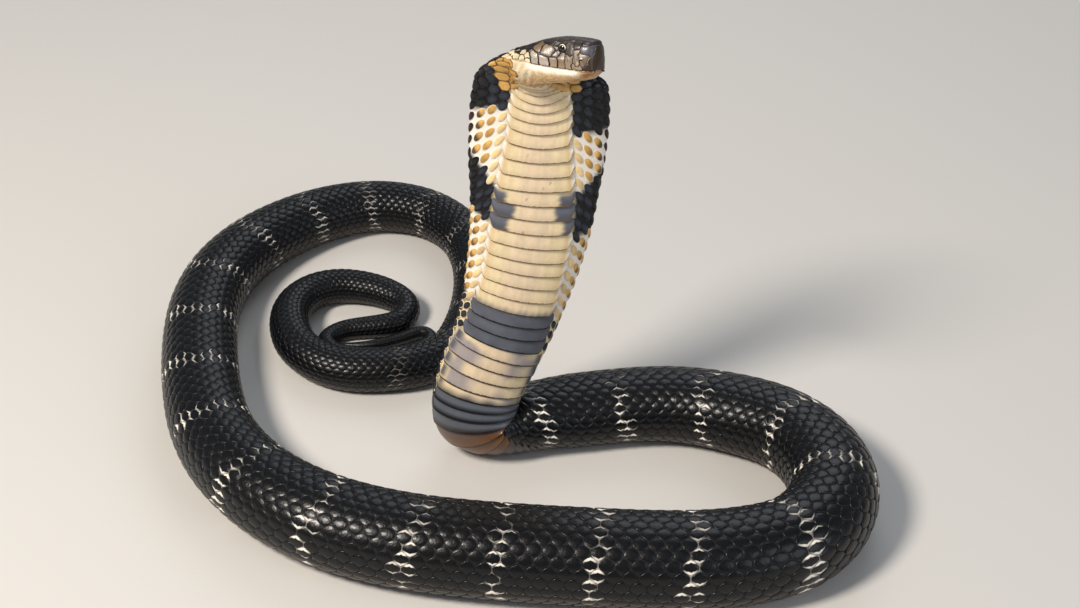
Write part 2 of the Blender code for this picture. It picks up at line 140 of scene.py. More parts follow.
def cubicThrough(points, at):
    # a natural cubic curve through the points, at shares of its length
    t = walked(points)
    size = len(t)
    matrix = np.eye(size)
    right = np.zeros((size, points.shape[1]))
    for i in range(1, size - 1):
        before = t[i] - t[i - 1]
        after = t[i + 1] - t[i]
        matrix[i, i - 1:i + 2] = (before, 2 * (before + after), after)
        right[i] = 6 * ((points[i + 1] - points[i]) / after - (points[i] - points[i - 1]) / before)
    bend = np.linalg.solve(matrix, right)
    where = at * t[-1]
    k = np.clip(np.searchsorted(t, where, side="right") - 1, 0, size - 2)
    step = (t[k + 1] - t[k])[:, None]
    a = (t[k + 1] - where)[:, None]
    b = (where - t[k])[:, None]
    return (
        (bend[k] * a ** 3 + bend[k + 1] * b ** 3) / (6 * step)
        + (points[k] / step - bend[k] * step / 6) * a
        + (points[k + 1] / step - bend[k + 1] * step / 6) * b
    )


def unit(v):
    return v / np.linalg.norm(v, axis=-1, keepdims=True)


# the centre line, all distances in millimetres
shape = routeShape
yaw, pitch, roll = (math.radians(shape[key]) for key in ("yaw", "pitch", "roll"))
forward = np.array((math.cos(yaw) * math.cos(pitch), -math.sin(yaw) * math.cos(pitch), math.sin(pitch)))
down = unit(np.array((0, 0, -1.0)) + forward * forward[2])
viewerSide = np.array((-math.sin(yaw), -math.cos(yaw), 0))
throat = unit(down * math.cos(roll) + viewerSide * math.sin(roll))
shift = np.array((*shape["boxMiddle"], 0.0))
snout = np.array(shape["snout"]) - shift
knots = np.array([*shape["reared"], *((*place, 0) for place in shape["floor"])], dtype=float)
rearedCount = len(shape["reared"])
for _ in range(3):
    # the floor part lies as high as its own belly is deep
    bellyDepth = readTable(bodySections, shape["hoodTop"] + walked(knots))[2] * shape["floorSqueeze"]
    knots[rearedCount:, 2] = bellyDepth[rearedCount:]
line = cubicThrough(knots, np.linspace(0, 1, 9000)) - shift
lineAt = shape["hoodTop"] + walked(line)
bodyLength = lineAt[-1]


def linePoint(s):
    s = np.asarray(s, dtype=float)
    onBody = np.stack([np.interp(s, lineAt, line[:, k]) for k in range(3)], axis=-1)
    onHead = snout - forward * s[..., None]
    return np.where((s <= shape["jaws"])[..., None], onHead, onBody)


def lineDirection(s, reach=1.5):
    ahead = linePoint(np.maximum(s - reach, shape["hoodTop"]))
    behind = linePoint(np.clip(s + reach, shape["hoodTop"] + 0.5, bodyLength))
    return np.where((s <= shape["jaws"])[..., None], -forward, unit(behind - ahead))


def lineFrame(s):
    faces = np.array(shape["faces"], dtype=float)
    tailward = lineDirection(s)
    belly = np.stack([np.interp(s, faces[:, 0], faces[:, k]) for k in (1, 2, 3)], axis=-1)
    belly = np.where((s <= shape["jaws"])[..., None], throat, belly)
    belly = unit(belly - tailward * np.sum(tailward * belly, axis=-1, keepdims=True))
    return linePoint(s), tailward, belly, np.cross(tailward, belly)


def bodyOutline(s, u):
    # u runs 0 at the spine, 6 at the widest place, 9 at the scute edge, 14 at the middle of the belly
    width, back, belly, scute, sharp = (column[:, None] for column in readTable(bodySections, s))
    power = 2 / sharp
    edge = np.arccos((scute / width) ** (1 / power))
    upper = math.pi / 2 * (1 - np.clip(u, 0, 6) / 6)
    lower = np.where(u < 9, edge * (u - 6) / 3, edge + (math.pi / 2 - edge) * (u - 9) / 5)
    angle = np.where(u < 6, upper, np.clip(lower, 0, math.pi / 2))
    x = width * np.maximum(np.cos(angle), 0) ** power
    z = np.where(u < 6, -back, belly) * np.maximum(np.sin(angle), 0) ** power
    return x, z


def mouthHang(s):
    # how much lower the line of the mouth lies towards the snout
    return shape["mouthHang"] * np.maximum(1 - (s / shape["mouthCorner"]) ** 2, 0)


def headMarks(s):
    # the same fifteen places round a head section as the solids have
    crown, crownWidth, cheek, chinWidth, chin = readTable(headStations, s)
    groove = 1.1 * np.clip((42 - s) / 4, 0, 1)
    brow = 0.9 * np.exp(-((s - eyeShape["fromSnout"]) / 5.0) ** 2)
    orbit = 1.0 * np.exp(-((s - eyeShape["fromSnout"]) / 4.5) ** 2)
    slope = cheek - crownWidth
    rise = 0.065 * s
    zero = np.zeros_like(crown)
    xs = [zero, 0.5 * crownWidth, 0.84 * crownWidth, crownWidth + brow, crownWidth + 0.48 * slope - orbit,
          crownWidth + 0.80 * slope - orbit, cheek, 0.985 * cheek, 0.95 * cheek - groove, 0.955 * cheek,
          0.5 * (cheek + chinWidth) + 0.9, chinWidth, 0.66 * chinWidth, 0.32 * chinWidth, zero]
    zs = [-crown, -crown + 0.2, -crown + 0.8, -crown + 2.3, -0.73 * crown, -0.52 * crown - 0.2 * rise,
          -0.28 * crown - 0.6 * rise, -0.9 - rise, -rise, 0.9 - rise, 0.44 * chin - 0.5 * rise,
          0.76 * chin, 0.94 * chin, chin, chin]
    share = np.array((0, 0, 0, 0, 0, 0.2, 0.5, 1, 1, 1, 1, 1, 1, 1, 1))
    return np.stack(xs, axis=1), np.stack(zs, axis=1) + mouthHang(s)[:, None] * share


def headOutline(s, u):
    # a smooth line through those places, level where it crosses the middle of the head
    xs, zs = headMarks(s)
    xs = np.concatenate([-xs[:, 1:2], xs, -xs[:, -2:-1]], axis=1)
    zs = np.concatenate([zs[:, 1:2], zs, zs[:, -2:-1]], axis=1)
    k = np.clip(np.floor(u).astype(int), 0, 13)
    t = u - k
    rows = np.arange(len(s))[:, None]

    def through(v):
        a, b, c, d = (v[rows, k + i] for i in range(4))
        square = 2 * a - 5 * b + 4 * c - d
        cube = 3 * b - a - 3 * c + d
        return 0.5 * (2 * b + (c - a) * t + square * t ** 2 + cube * t ** 3)

    return through(xs), through(zs)


def section(s, u):
    # points of the outer surface at distances s (n) and places u (n, m); u is negative on the animal's left
    onHead = (s <= shape["jaws"])[:, None]
    outlines = zip(headOutline(s, abs(u)), bodyOutline(s, abs(u)))
    x, z = (np.where(onHead, head, body) for head, body in outlines)
    centre, tailward, belly, right = lineFrame(s)
    offset = (np.sign(u) * x)[..., None] * right[:, None] + z[..., None] * belly[:, None]
    before, after = np.maximum(s - 5, shape["hoodTop"]), np.minimum(s + 5, bodyLength)
    bend = (lineDirection(after) - lineDirection(before)) / np.maximum(after - before, 1)[:, None]
    bend = np.where((s <= shape["hoodTop"])[:, None], 0, bend)
    tight = np.linalg.norm(bend, axis=1)
    inward = bend / np.maximum(tight, 1e-9)[:, None]
    limit = (shape["bendLimit"] / np.maximum(tight, 1e-9))[:, None]
    reach = np.einsum("nmk,nk->nm", offset, inward)
    squeezed = np.where((reach > 0) & (tight > 0.0005)[:, None], limit * np.tanh(reach / limit), reach)
    offset = offset + (squeezed - reach)[..., None] * inward[:, None]
    points = centre[:, None] + offset
    points[..., 2] = np.maximum(points[..., 2], 0)
    return points


def surface(s, u):
    # the same, with the nape flaring from the jaws out to the hood
    s = np.asarray(s, dtype=float)
    jaws = np.full(1, shape["jaws"])
    top = np.full(1, float(shape["hoodTop"]))
    points = section(np.where((s > jaws) & (s < top), top, s), u)
    flare = np.where((s > jaws[0]) & (s < top[0]))[0]
    if len(flare):
        near = section(np.repeat(jaws, len(flare)), u[flare])
        far = section(np.repeat(top, len(flare)), u[flare])
        chord = far - near
        least = shape["napePull"] * np.linalg.norm(chord, axis=-1)
        leaveWay, arriveWay = lineDirection(jaws)[0], lineDirection(top)[0]
        leave = np.maximum(chord @ leaveWay, least)[..., None] * leaveWay
        arrive = np.maximum(chord @ arriveWay, least)[..., None] * arriveWay
        t = ((s[flare] - jaws[0]) / (top[0] - jaws[0]))[:, None, None]
        points[flare] = (
            (1 + 2 * t) * (1 - t) ** 2 * near + t * (1 - t) ** 2 * leave
            + t * t * (3 - 2 * t) * far + t * t * (t - 1) * arrive
        )
    return points


# a chart of the whole surface: rows along the body, columns round it by arc length
# around runs -1 to 1: 0 is the spine, 0.75 either side the scute edge, 1 the middle of the belly
chartShape = {"headStep": 1.0, "napeRows": 31, "bodyStep": 1.5, "backSteps": 48, "bellySteps": 16}
chartAt = np.concatenate([
    np.arange(0, 50, chartShape["headStep"]),
    np.linspace(shape["jaws"], shape["hoodTop"], chartShape["napeRows"]),
    np.arange(shape["hoodTop"] + chartShape["bodyStep"], bodyLength - 0.4, chartShape["bodyStep"]),
    [bodyLength],
])
halfColumns = chartShape["backSteps"] + chartShape["bellySteps"]
scuteEdge = chartShape["backSteps"] / halfColumns


def evenPlaces(s):
    # u at even arc lengths from the spine to the scute edge, and from there to the middle of the belly
    fine = np.linspace(0, 14, 281)
    outline = headOutline if s <= shape["jaws"] else bodyOutline
    arc = walked(np.concatenate(outline(np.array([s]), fine[None])).T)
    edge = np.interp(9, fine, arc)
    back = np.linspace(0, edge, chartShape["backSteps"] + 1)
    belly = np.linspace(edge, arc[-1], chartShape["bellySteps"] + 1)[1:]
    return np.interp(np.concatenate([back, belly]), arc, fine)


def placesAt(s):
    # on the nape they pass smoothly from those of the jaws to those of the hood
    if not shape["jaws"] < s < shape["hoodTop"]:
        return evenPlaces(s)
    t = ramp(s, shape["jaws"], shape["hoodTop"])
    return evenPlaces(shape["jaws"]) * (1 - t) + evenPlaces(shape["hoodTop"]) * t


chartU = np.array([placesAt(s) for s in chartAt])
chart = surface(chartAt, np.concatenate([-chartU[:, :0:-1], chartU], axis=1))


def chartNormals(points):
    alongStep = np.gradient(points, axis=0)
    closed = np.concatenate([points[:, -2:-1], points, points[:, 1:2]], axis=1)
    roundStep = closed[:, 2:] - closed[:, :-2]
    normal = np.cross(roundStep, alongStep)
    normal /= np.maximum(np.linalg.norm(normal, axis=-1, keepdims=True), 1e-9)
    outward = points - points[:, :-1].mean(axis=1)[:, None]
    if np.sum(normal * outward) < 0:
        normal = -normal
    return normal


chartNormal = chartNormals(chart)
print("surface charted:", chart.shape[:2], "length", round(bodyLength), "mm")


def lookUp(s, around):
    # place and outward normal at any distance and place round the body
    around = (np.asarray(around) + 1) % 2 - 1
    row = np.interp(s, chartAt, np.arange(len(chartAt)))
    column = (around + 1) * halfColumns
    i = np.clip(row.astype(int), 0, len(chartAt) - 2)
    j = np.clip(column.astype(int), 0, 2 * halfColumns - 1)
    p, q = (row - i)[..., None], (column - j)[..., None]

    def mix(grid):
        return (
            grid[i, j] * (1 - p) * (1 - q) + grid[i + 1, j] * p * (1 - q)
            + grid[i, j + 1] * (1 - p) * q + grid[i + 1, j + 1] * p * q
        )

    return mix(chart), unit(mix(chartNormal))


def coatDepth(s):
    # how deep the skin lies under the outer surface: less where the body is thin
    return 0.9 * np.clip(readTable(bodySections, np.maximum(s, 80))[0] / 22, 0.08, 1)


def overMouth(place):
    # height above the line of the mouth
    along = np.maximum(-(place - snout) @ forward, 0)
    return mouthHang(along) - (place - snout) @ throat - 0.065 * along


def lipsBack(place):
    # the snout hangs over the mouth: its lower front and the tip of the jaw are set back
    along = -(place - snout) @ forward
    above = overMouth(place)
    back = 0.3 * (1 - ramp(above, 2, 9)) * (1 - ramp(along, 0, 7))
    back += 1.1 * (1 - ramp(above, -1.2, 0.4)) * (1 - ramp(along, 0, 8))
    return place - forward * back[..., None]


# colours, as sRGB hex
def linear(hexText):
    values = [int(hexText[i:i + 2], 16) / 255 for i in (1, 3, 5)]
    return np.array([v / 12.92 if v <= 0.04045 else ((v + 0.055) / 1.055) ** 2.4 for v in values])


coatColours = {
    "black": "#07080B", "blackEdge": "#15171D", "slate": "#424A5C", "slateDark": "#191C23",
    "slateHighlight": "#7C8494", "cream": "#EAD5AA", "creamPink": "#E6CFAD", "backCream": "#CDB98F",
    "white": "#F5EEE2", "ochre": "#CDA159", "ochreDark": "#8A5E2A", "stain": "#7A3A1E", "spot": "#35201F",
    "brown": "#2E2422", "brownEdge": "#5E4A3D", "groundGlowBrown": "#94602F", "lavender": "#8C8791",
    "under": "#2B2624", "scuteLine": "#7E5A2F", "scuteLineGrey": "#4C4037",
}
tint = {name: linear(value) for name, value in coatColours.items()}


def blend(a, b, t):
    return a * (1 - t[..., None]) + b * t[..., None]


# the light zones of the hood in millimetres, on the animal's right, its left and its spine:
# where each begins at the rim and beside the belly, and where it ends there
hoodZones = [
    ((100, 93, 126, 149), (110, 112, 131, 156), (100, 100, 114, 114)),
    ((171, 180, 232, 247), (182, 186, 246, 252), (184, 184, 200, 200)),
]
# how far from the snout each pale cross band of the body lies
bandAt = [
    395, 455, 520, 585, 650, 716, 783, 842, 903, 960, 1023, 1090, 1153, 1215, 1276, 1336, 1395, 1452,
    1507, 1560, 1611, 1660, 1708, 1754, 1798,
]


def hoodLight(s, around, soft=2.5):
    out = abs(around) / scuteEdge
    side = ramp(out, 0.35, 0.62)
    slope = np.clip((out - 0.62) / 0.36, 0, 1)
    light = np.zeros(np.broadcast(s, around).shape)
    for rightZone, leftZone, backZone in hoodZones:
        ends = (np.where(around > 0, a, b) for a, b in zip(rightZone, leftZone))
        rimLow, bellyLow, rimHigh, bellyHigh = ends
        low = (rimLow + (bellyLow - rimLow) * slope) * side + (backZone[0] + 14 * out) * (1 - side)
        high = (rimHigh + (bellyHigh - rimHigh) * slope) * side + (backZone[2] + 14 * out) * (1 - side)
        light = np.maximum(light, plateau(s, low - soft, low + soft, high - soft, high + soft))
    return light


def bandLight(s, around, half=4.8, soft=1.2):
    # each band is a shallow chevron with its point towards the head
    out = np.clip(abs(around) / scuteEdge, 0, 1.2)
    light = np.zeros(np.broadcast(s, around).shape)
    for place in bandAt:
        centre = place - 8 * (1 - np.minimum(out, 1)) ** 1.5
        strength = 1 - 0.75 * ramp(np.full_like(light, place), 1150, 1850)
        light = np.maximum(light, strength * (1 - ramp(abs(s - centre), half - soft, half + soft)))
    return light * (0.5 + 0.5 * ramp(out, 0.1, 0.45))


def softNoise(x, y, seed=0):
    # smooth blotches one unit across, the same on every run
    i, j = np.floor(x), np.floor(y)

    def corner(a, b):
        return np.mod(np.sin(a * 127.1 + b * 311.7 + seed * 74.7) * 43758.5453, 1)

    p, q = x - i, y - j
    p, q = p * p * (3 - 2 * p), q * q * (3 - 2 * q)
    low = corner(i, j) * (1 - p) + corner(i + 1, j) * p
    high = corner(i, j + 1) * (1 - p) + corner(i + 1, j + 1) * p
    return low * (1 - q) + high * q


def skinColour(s, around):
    s, around = np.broadcast_arrays(np.asarray(s, dtype=float), around)
    out = abs(around) / scuteEdge
    pale = np.maximum(hoodLight(s, around), 0.35 * bandLight(s, around, half=3))
    colour = blend(tint["black"], tint["white"], pale)
    colour = blend(colour, tint["cream"], ramp(out, 0.55, 0.75) * (1 - ramp(s, 60, 76)))
    colour = blend(colour, tint["cream"], ramp(out, 0.86, 0.92) * plateau(s, 246, 252, 318, 324))
    under = blend(tint["cream"], tint["under"], ramp(s, 285, 340))
    return blend(colour, under, ramp(out, 0.98, 1.02))


# meshes
def deselect():
    bpy.ops.object.select_all(action="DESELECT")


def wrapGrid(name, places, closeSides=True):
    # a grid laid over rows of places; its doubles are merged where the two sides meet
    rows, columns = places.shape[:2]
    deselect()
    bpy.ops.mesh.primitive_grid_add(x_subdivisions=columns - 1, y_subdivisions=rows - 1, size=2)
    piece = bpy.context.object
    piece.name = piece.data.name = name
    piece.data.uv_layers[0].name = "OFBake"  # the grid's own map is the unwrap of what it is laid over
    flat = np.zeros(len(piece.data.vertices) * 3)
    piece.data.vertices.foreach_get("co", flat)
    flat = flat.reshape(-1, 3)
    column = np.rint((flat[:, 0] + 1) / 2 * (columns - 1)).astype(int)
    row = np.rint((flat[:, 1] + 1) / 2 * (rows - 1)).astype(int)
    piece.data.vertices.foreach_set("co", (places[row, column] * mm).ravel())
    piece.location = (0, 0, 0)
    return piece, row, column


def paint(piece, name, values):
    kind = "FLOAT_COLOR" if values.ndim == 2 else "FLOAT"
    layer = piece.data.attributes.new(name, kind, "POINT")
    if values.ndim == 2:
        values = np.concatenate([values, np.ones((len(values), 1))], axis=1)
        layer.data.foreach_set("color", values.astype(np.float32).ravel())
    else:
        layer.data.foreach_set("value", values.astype(np.float32))


def closeSeams(piece, distance=0.00002):
    deselect()
    piece.select_set(True)
    bpy.context.view_layer.objects.active = piece
    bpy.ops.object.mode_set(mode="EDIT")
    bpy.ops.mesh.select_all(action="SELECT")
    bpy.ops.mesh.remove_doubles(threshold=distance)
    bpy.ops.mesh.select_all(action="SELECT")
    bpy.ops.mesh.normals_make_consistent(inside=False)
    bpy.ops.object.mode_set(mode="OBJECT")


def finishPiece(piece, material, replaced=()):
    piece.data.materials.clear()
    piece.data.materials.append(material)
    piece.data.shade_smooth()
    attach(piece, "root")
    if replaced:
        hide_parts(*replaced)
    triangles = sum(len(face.vertices) - 2 for face in piece.data.polygons)
    print("made", piece.name, "with", triangles, "triangles")


unwrapStrips = 4


def unwrapPlace(s, around):
    # the body's own unwrap: four strips side by side, each a quarter of its length
    strip = np.clip(np.floor(s / (bodyLength + 1) * unwrapStrips), 0, unwrapStrips - 1)
    u = s / (bodyLength + 1) * unwrapStrips - strip
    v = (strip + 0.02 + 0.96 * ((np.asarray(around) + 1) % 2) / 2) / unwrapStrips
    return u, v


# materials
def addNode(tree, kind, settings=None, links=None, output=0):
    # one node with its settings and the sockets that feed it; gives back one of its outputs
    node = tree.nodes.new(kind)
    for key, value in (settings or {}).items():
        if isinstance(key, str) and hasattr(node, key):
            setattr(node, key, value)
        else:
            node.inputs[key].default_value = value
    for key, source in (links or {}).items():
        tree.links.new(source, node.inputs[key])
    return node.outputs[output]


def newMaterial(name, roughness, ior=1.45, coat=0.0, coatRoughness=0.1):
    material = bpy.data.materials.new(name)
    material.use_nodes = True
    shader = material.node_tree.nodes["Principled BSDF"]
    shader.inputs["Roughness"].default_value = roughness
    shader.inputs["IOR"].default_value = ior
    shader.inputs["Coat Weight"].default_value = coat
    shader.inputs["Coat Roughness"].default_value = coatRoughness
    return material, material.node_tree, shader


def keratin(name, roughness, wrinkle, wrinkleSize, tone=0.12, coat=0.0, edgeSoft=0.05, shine=0.5):
    # keratin: a smooth horny plate over pigment, satin to glossy, its rim paler where the horn thins
    material, tree, shader = newMaterial(name, roughness, ior=1.5, coat=coat)
    shader.inputs["Specular IOR Level"].default_value = shine  # fine ridges take off part of the shine
    place = addNode(tree, "ShaderNodeTexCoord", output="Object")
    centre = addNode(tree, "ShaderNodeAttribute", {"attribute_name": "centreColour"}, output="Color")
    edge = addNode(tree, "ShaderNodeAttribute", {"attribute_name": "edgeColour"}, output="Color")
    rim = addNode(tree, "ShaderNodeAttribute", {"attribute_name": "rim"}, output="Fac")
    width = addNode(tree, "ShaderNodeAttribute", {"attribute_name": "rimWidth"}, output="Fac")
    # the rim's inner side is ragged, in steps of about 1.4 mm
    ragged = addNode(tree, "ShaderNodeTexNoise", {"Scale": 700, "Detail": 2}, {"Vector": place})
    ragged = addNode(tree, "ShaderNodeMath", {"operation": "MULTIPLY_ADD", 1: 0.12, 2: -0.06}, {0: ragged})
    reach = addNode(tree, "ShaderNodeMath", {"operation": "ADD"}, {0: rim, 1: width})
    reach = addNode(tree, "ShaderNodeMath", {"operation": "ADD"}, {0: reach, 1: ragged})
    soft = {"interpolation_type": "SMOOTHSTEP", "From Min": 1 - edgeSoft, "From Max": 1 + edgeSoft}
    mask = addNode(tree, "ShaderNodeMapRange", soft, {"Value": reach})
    colour = addNode(tree, "ShaderNodeMix", {"data_type": "RGBA"}, {"Factor": mask, 6: centre, 7: edge}, 2)
    # pigment is uneven, in clouds of about 4 mm
    clouds = {"Scale": 260, "Detail": 4, "Roughness": 0.6}
    mottle = addNode(tree, "ShaderNodeTexNoise", clouds, {"Vector": place})
    tones = {"From Min": 0.3, "From Max": 0.7, "To Min": 1 - tone, "To Max": 1 + tone}
    mottle = addNode(tree, "ShaderNodeMapRange", tones, {"Value": mottle})
    multiply = {"data_type": "RGBA", "blend_type": "MULTIPLY", "Factor": 1.0}
    colour = addNode(tree, "ShaderNodeMix", multiply, {6: colour, 7: mottle}, 2)
    tree.links.new(colour, shader.inputs["Base Color"])
    creases = {"Scale": 1 / wrinkleSize / mm, "Detail": 3}
    wrinkles = addNode(tree, "ShaderNodeTexNoise", creases, {"Vector": place})
    bump = addNode(tree, "ShaderNodeBump", {"Strength": wrinkle, "Distance": 0.0006}, {"Height": wrinkles})
    tree.links.new(bump, shader.inputs["Normal"])
    return material


def skinMaterial():
    # soft skin between the scales: matt, pigment only, with folds of about 0.8 mm
    material, tree, shader = newMaterial("snakeSkin", 0.62)
    place = addNode(tree, "ShaderNodeTexCoord", output="Object")
    colour = addNode(tree, "ShaderNodeAttribute", {"attribute_name": "skinColour"}, output="Color")
    tree.links.new(colour, shader.inputs["Base Color"])
    folds = addNode(tree, "ShaderNodeTexNoise", {"Scale": 1200, "Detail": 3}, {"Vector": place})
    bump = addNode(tree, "ShaderNodeBump", {"Strength": 0.4, "Distance": 0.0003}, {"Height": folds})
    tree.links.new(bump, shader.inputs["Normal"])
    return material


# the skin, one tube wrapped round the route and closed at snout and tail tip
fleshNodes = [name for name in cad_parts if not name.startswith("eye")]
skinShape = {
    "headStep": 2.0, "bodyStep": 2.6, "columns": 96, "noseRows": (0.001, 0.3, 0.62, 0.86),
    "noseBulge": 0.6, "underSnout": 0.86, "snoutEnd": 16,
}


def buildSkin():
    top = shape["hoodTop"]
    headRows = np.arange(skinShape["headStep"], top, skinShape["headStep"])
    bodyRows = np.arange(top, bodyLength, skinShape["bodyStep"])
    around = np.linspace(-1, 1, skinShape["columns"] + 1)
    s, a = np.meshgrid(np.concatenate([headRows, bodyRows, [bodyLength]]), around, indexing="ij")
    place, normal = lookUp(s, a)
    # under the snout it is drawn in, clear of the lips
    axis = place.mean(axis=1, keepdims=True)
    drawnIn = axis + (place - axis) * skinShape["underSnout"]
    onSnout = (1 - ramp(s, 0.5 * skinShape["snoutEnd"], skinShape["snoutEnd"]))[..., None]
    place = (place - normal * coatDepth(s)[..., None]) * (1 - onSnout) + drawnIn * onSnout
    place = np.where(s[..., None] < skinShape["snoutEnd"], lipsBack(place), place)
    # a rounded cap closes the snout, and the last ring the tail
    nose, end = place[0], place[-1]
    noseMiddle, endMiddle = nose.mean(axis=0), end.mean(axis=0)
    cap = [
        noseMiddle + (nose - noseMiddle) * share + forward * skinShape["noseBulge"] * (1 - share * share)
        for share in skinShape["noseRows"]
    ]
    closing = endMiddle + (end - endMiddle) * skinShape["noseRows"][0]
    place = np.concatenate([np.array(cap), place, closing[None]])
    s, a = (np.concatenate([np.repeat(v[:1], len(cap), axis=0), v, v[-1:]]) for v in (s, a))
    piece, row, column = wrapGrid("skin", place)
    paint(piece, "skinColour", skinColour(s, a)[row, column])
    closeSeams(piece)
    finishPiece(piece, skinMaterial(), fleshNodes)


buildSkin()


# the back scales: one scale modelled once, then laid in staggered rows
scaleShape = {
    "sides": 14, "insets": (0.10, 0.13, 0.20, 0.25), "wall": 0.9,
    "sink": 0.10, "dome": 0.55, "tilt": 0.24, "gap": 0.5, "rounding": 0.35, "overlap": 1.10,
    "hoodRounding": 0.95, "hoodWide": 0.60, "hoodLean": 0.42, "toneSpread": 0.20,
}
# from, to, rows across the back
scaleZones = [
    (50, 256, 21), (256, 1722, 19), (1722, 1878, 17), (1878, 2028, 15), (2028, 2130, 11), (2130, 2288, 9),
]
# each joined mesh of scales, from and to
scalePieces = (
    ("neckScales", 0, 400), ("frontBodyScales", 400, 930), ("middleBodyScales", 930, 1400),
    ("rearBodyScales", 1400, 1760), ("tailScales", 1760, 2028), ("tailEndScales", 2028, 9000),
)
ringSteps = np.linalg.norm(np.diff(chart[:, halfColumns:], axis=1), axis=-1)
backArc = ringSteps[:, :chartShape["backSteps"]].sum(axis=1)


def scalePitch(s):
    # millimetres from one scale to the next along the body
    onBody = np.minimum(1.1 + 0.302 * readTable(bodySections, s)[0], 10.1)
    onNeck = np.interp(s, (50, 70, 92, 112, 250, 300, 390), (4.6, 6.2, 8.4, 9.6, 9.6, 9.2, 9.9))
    return np.where(s < 390, onNeck, onBody)


def modelScale():
    # a many-sided disc, inset in rings and poked, with a wall drawn down from its rim
    deselect()
    bpy.ops.mesh.primitive_circle_add(vertices=scaleShape["sides"], radius=1, fill_type="NGON")
    bpy.ops.object.mode_set(mode="EDIT")
    bpy.ops.mesh.select_all(action="SELECT")
    for thickness in scaleShape["insets"]:
        bpy.ops.mesh.inset(thickness=thickness)
    bpy.ops.mesh.poke()
    bpy.ops.object.mode_set(mode="OBJECT")
    piece = bpy.context.object
    for edge in piece.data.edges:
        edge.select = all(piece.data.vertices[i].co.length > 0.99 for i in edge.vertices)
    for face in piece.data.polygons:
        face.select = False
    for vertex in piece.data.vertices:
        vertex.select = vertex.co.length > 0.99
    bpy.ops.object.mode_set(mode="EDIT")
    bpy.ops.mesh.select_mode(type="EDGE")
    bpy.ops.mesh.extrude_edges_move(TRANSFORM_OT_translate={"value": (0, 0, -1)})
    bpy.ops.mesh.select_mode(type="VERT")
    bpy.ops.mesh.select_all(action="SELECT")
    bpy.ops.mesh.normals_make_consistent(inside=False)
    bpy.ops.object.mode_set(mode="OBJECT")
    places = np.array([vertex.co for vertex in piece.data.vertices])
    faces = [list(face.vertices) for face in piece.data.polygons]
    up = sum(face.normal.z * face.area for face in piece.data.polygons)
    if up < 0:
        faces = [face[::-1] for face in faces]
    bpy.data.objects.remove(piece)
    return places, faces


def joinCopies(name, places, faces, attributes, patches):
    # many copies of one shape as a single mesh: places is (copies, vertices, 3) in millimetres
    copies, size = places.shape[:2]
    mesh = bpy.data.meshes.new(name)
    counts = np.array([len(face) for face in faces])
    loops = np.concatenate([np.array(face) for face in faces])
    allLoops = (loops[None] + size * np.arange(copies)[:, None]).ravel()
    allCounts = np.tile(counts, copies)
    mesh.vertices.add(copies * size)
    mesh.vertices.foreach_set("co", (places.reshape(-1, 3) * mm).astype(np.float32).ravel())
    mesh.loops.add(len(allLoops))
    mesh.loops.foreach_set("vertex_index", allLoops.astype(np.int32))
    mesh.polygons.add(len(allCounts))
    mesh.polygons.foreach_set("loop_start", np.concatenate([[0], np.cumsum(allCounts)[:-1]]).astype(np.int32))
    mesh.update(calc_edges=True)
    piece = bpy.data.objects.new(name, mesh)
    bpy.context.collection.objects.link(piece)
    for key, values in attributes.items():
        paint(piece, key, values.reshape(copies * size, -1) if values.ndim == 3 else values.ravel())
    chartLayer = mesh.uv_layers.new(name="OFBake")
    chartLayer.data.foreach_set("uv", patches.reshape(-1, 2)[allLoops].astype(np.float32).ravel())
    return piece


def layOutScales():
    # distance, place round the body, pitch, width and rows across of every back scale
    laid = []
    for start, end, rows in scaleZones:
        s = start
        while s < end:
            pitch = float(scalePitch(np.array([s]))[0])
            wide = 2 * np.interp(s, chartAt, backArc) / rows
            for index in range(-(rows // 2), rows // 2 + 1):
                place = s + (pitch / 2 if index % 2 else 0)
                if place < end - 0.15 * pitch:
                    laid.append((place, index * 2 * scuteEdge / rows, pitch, wide, rows))
            s += pitch
    return np.array(laid)


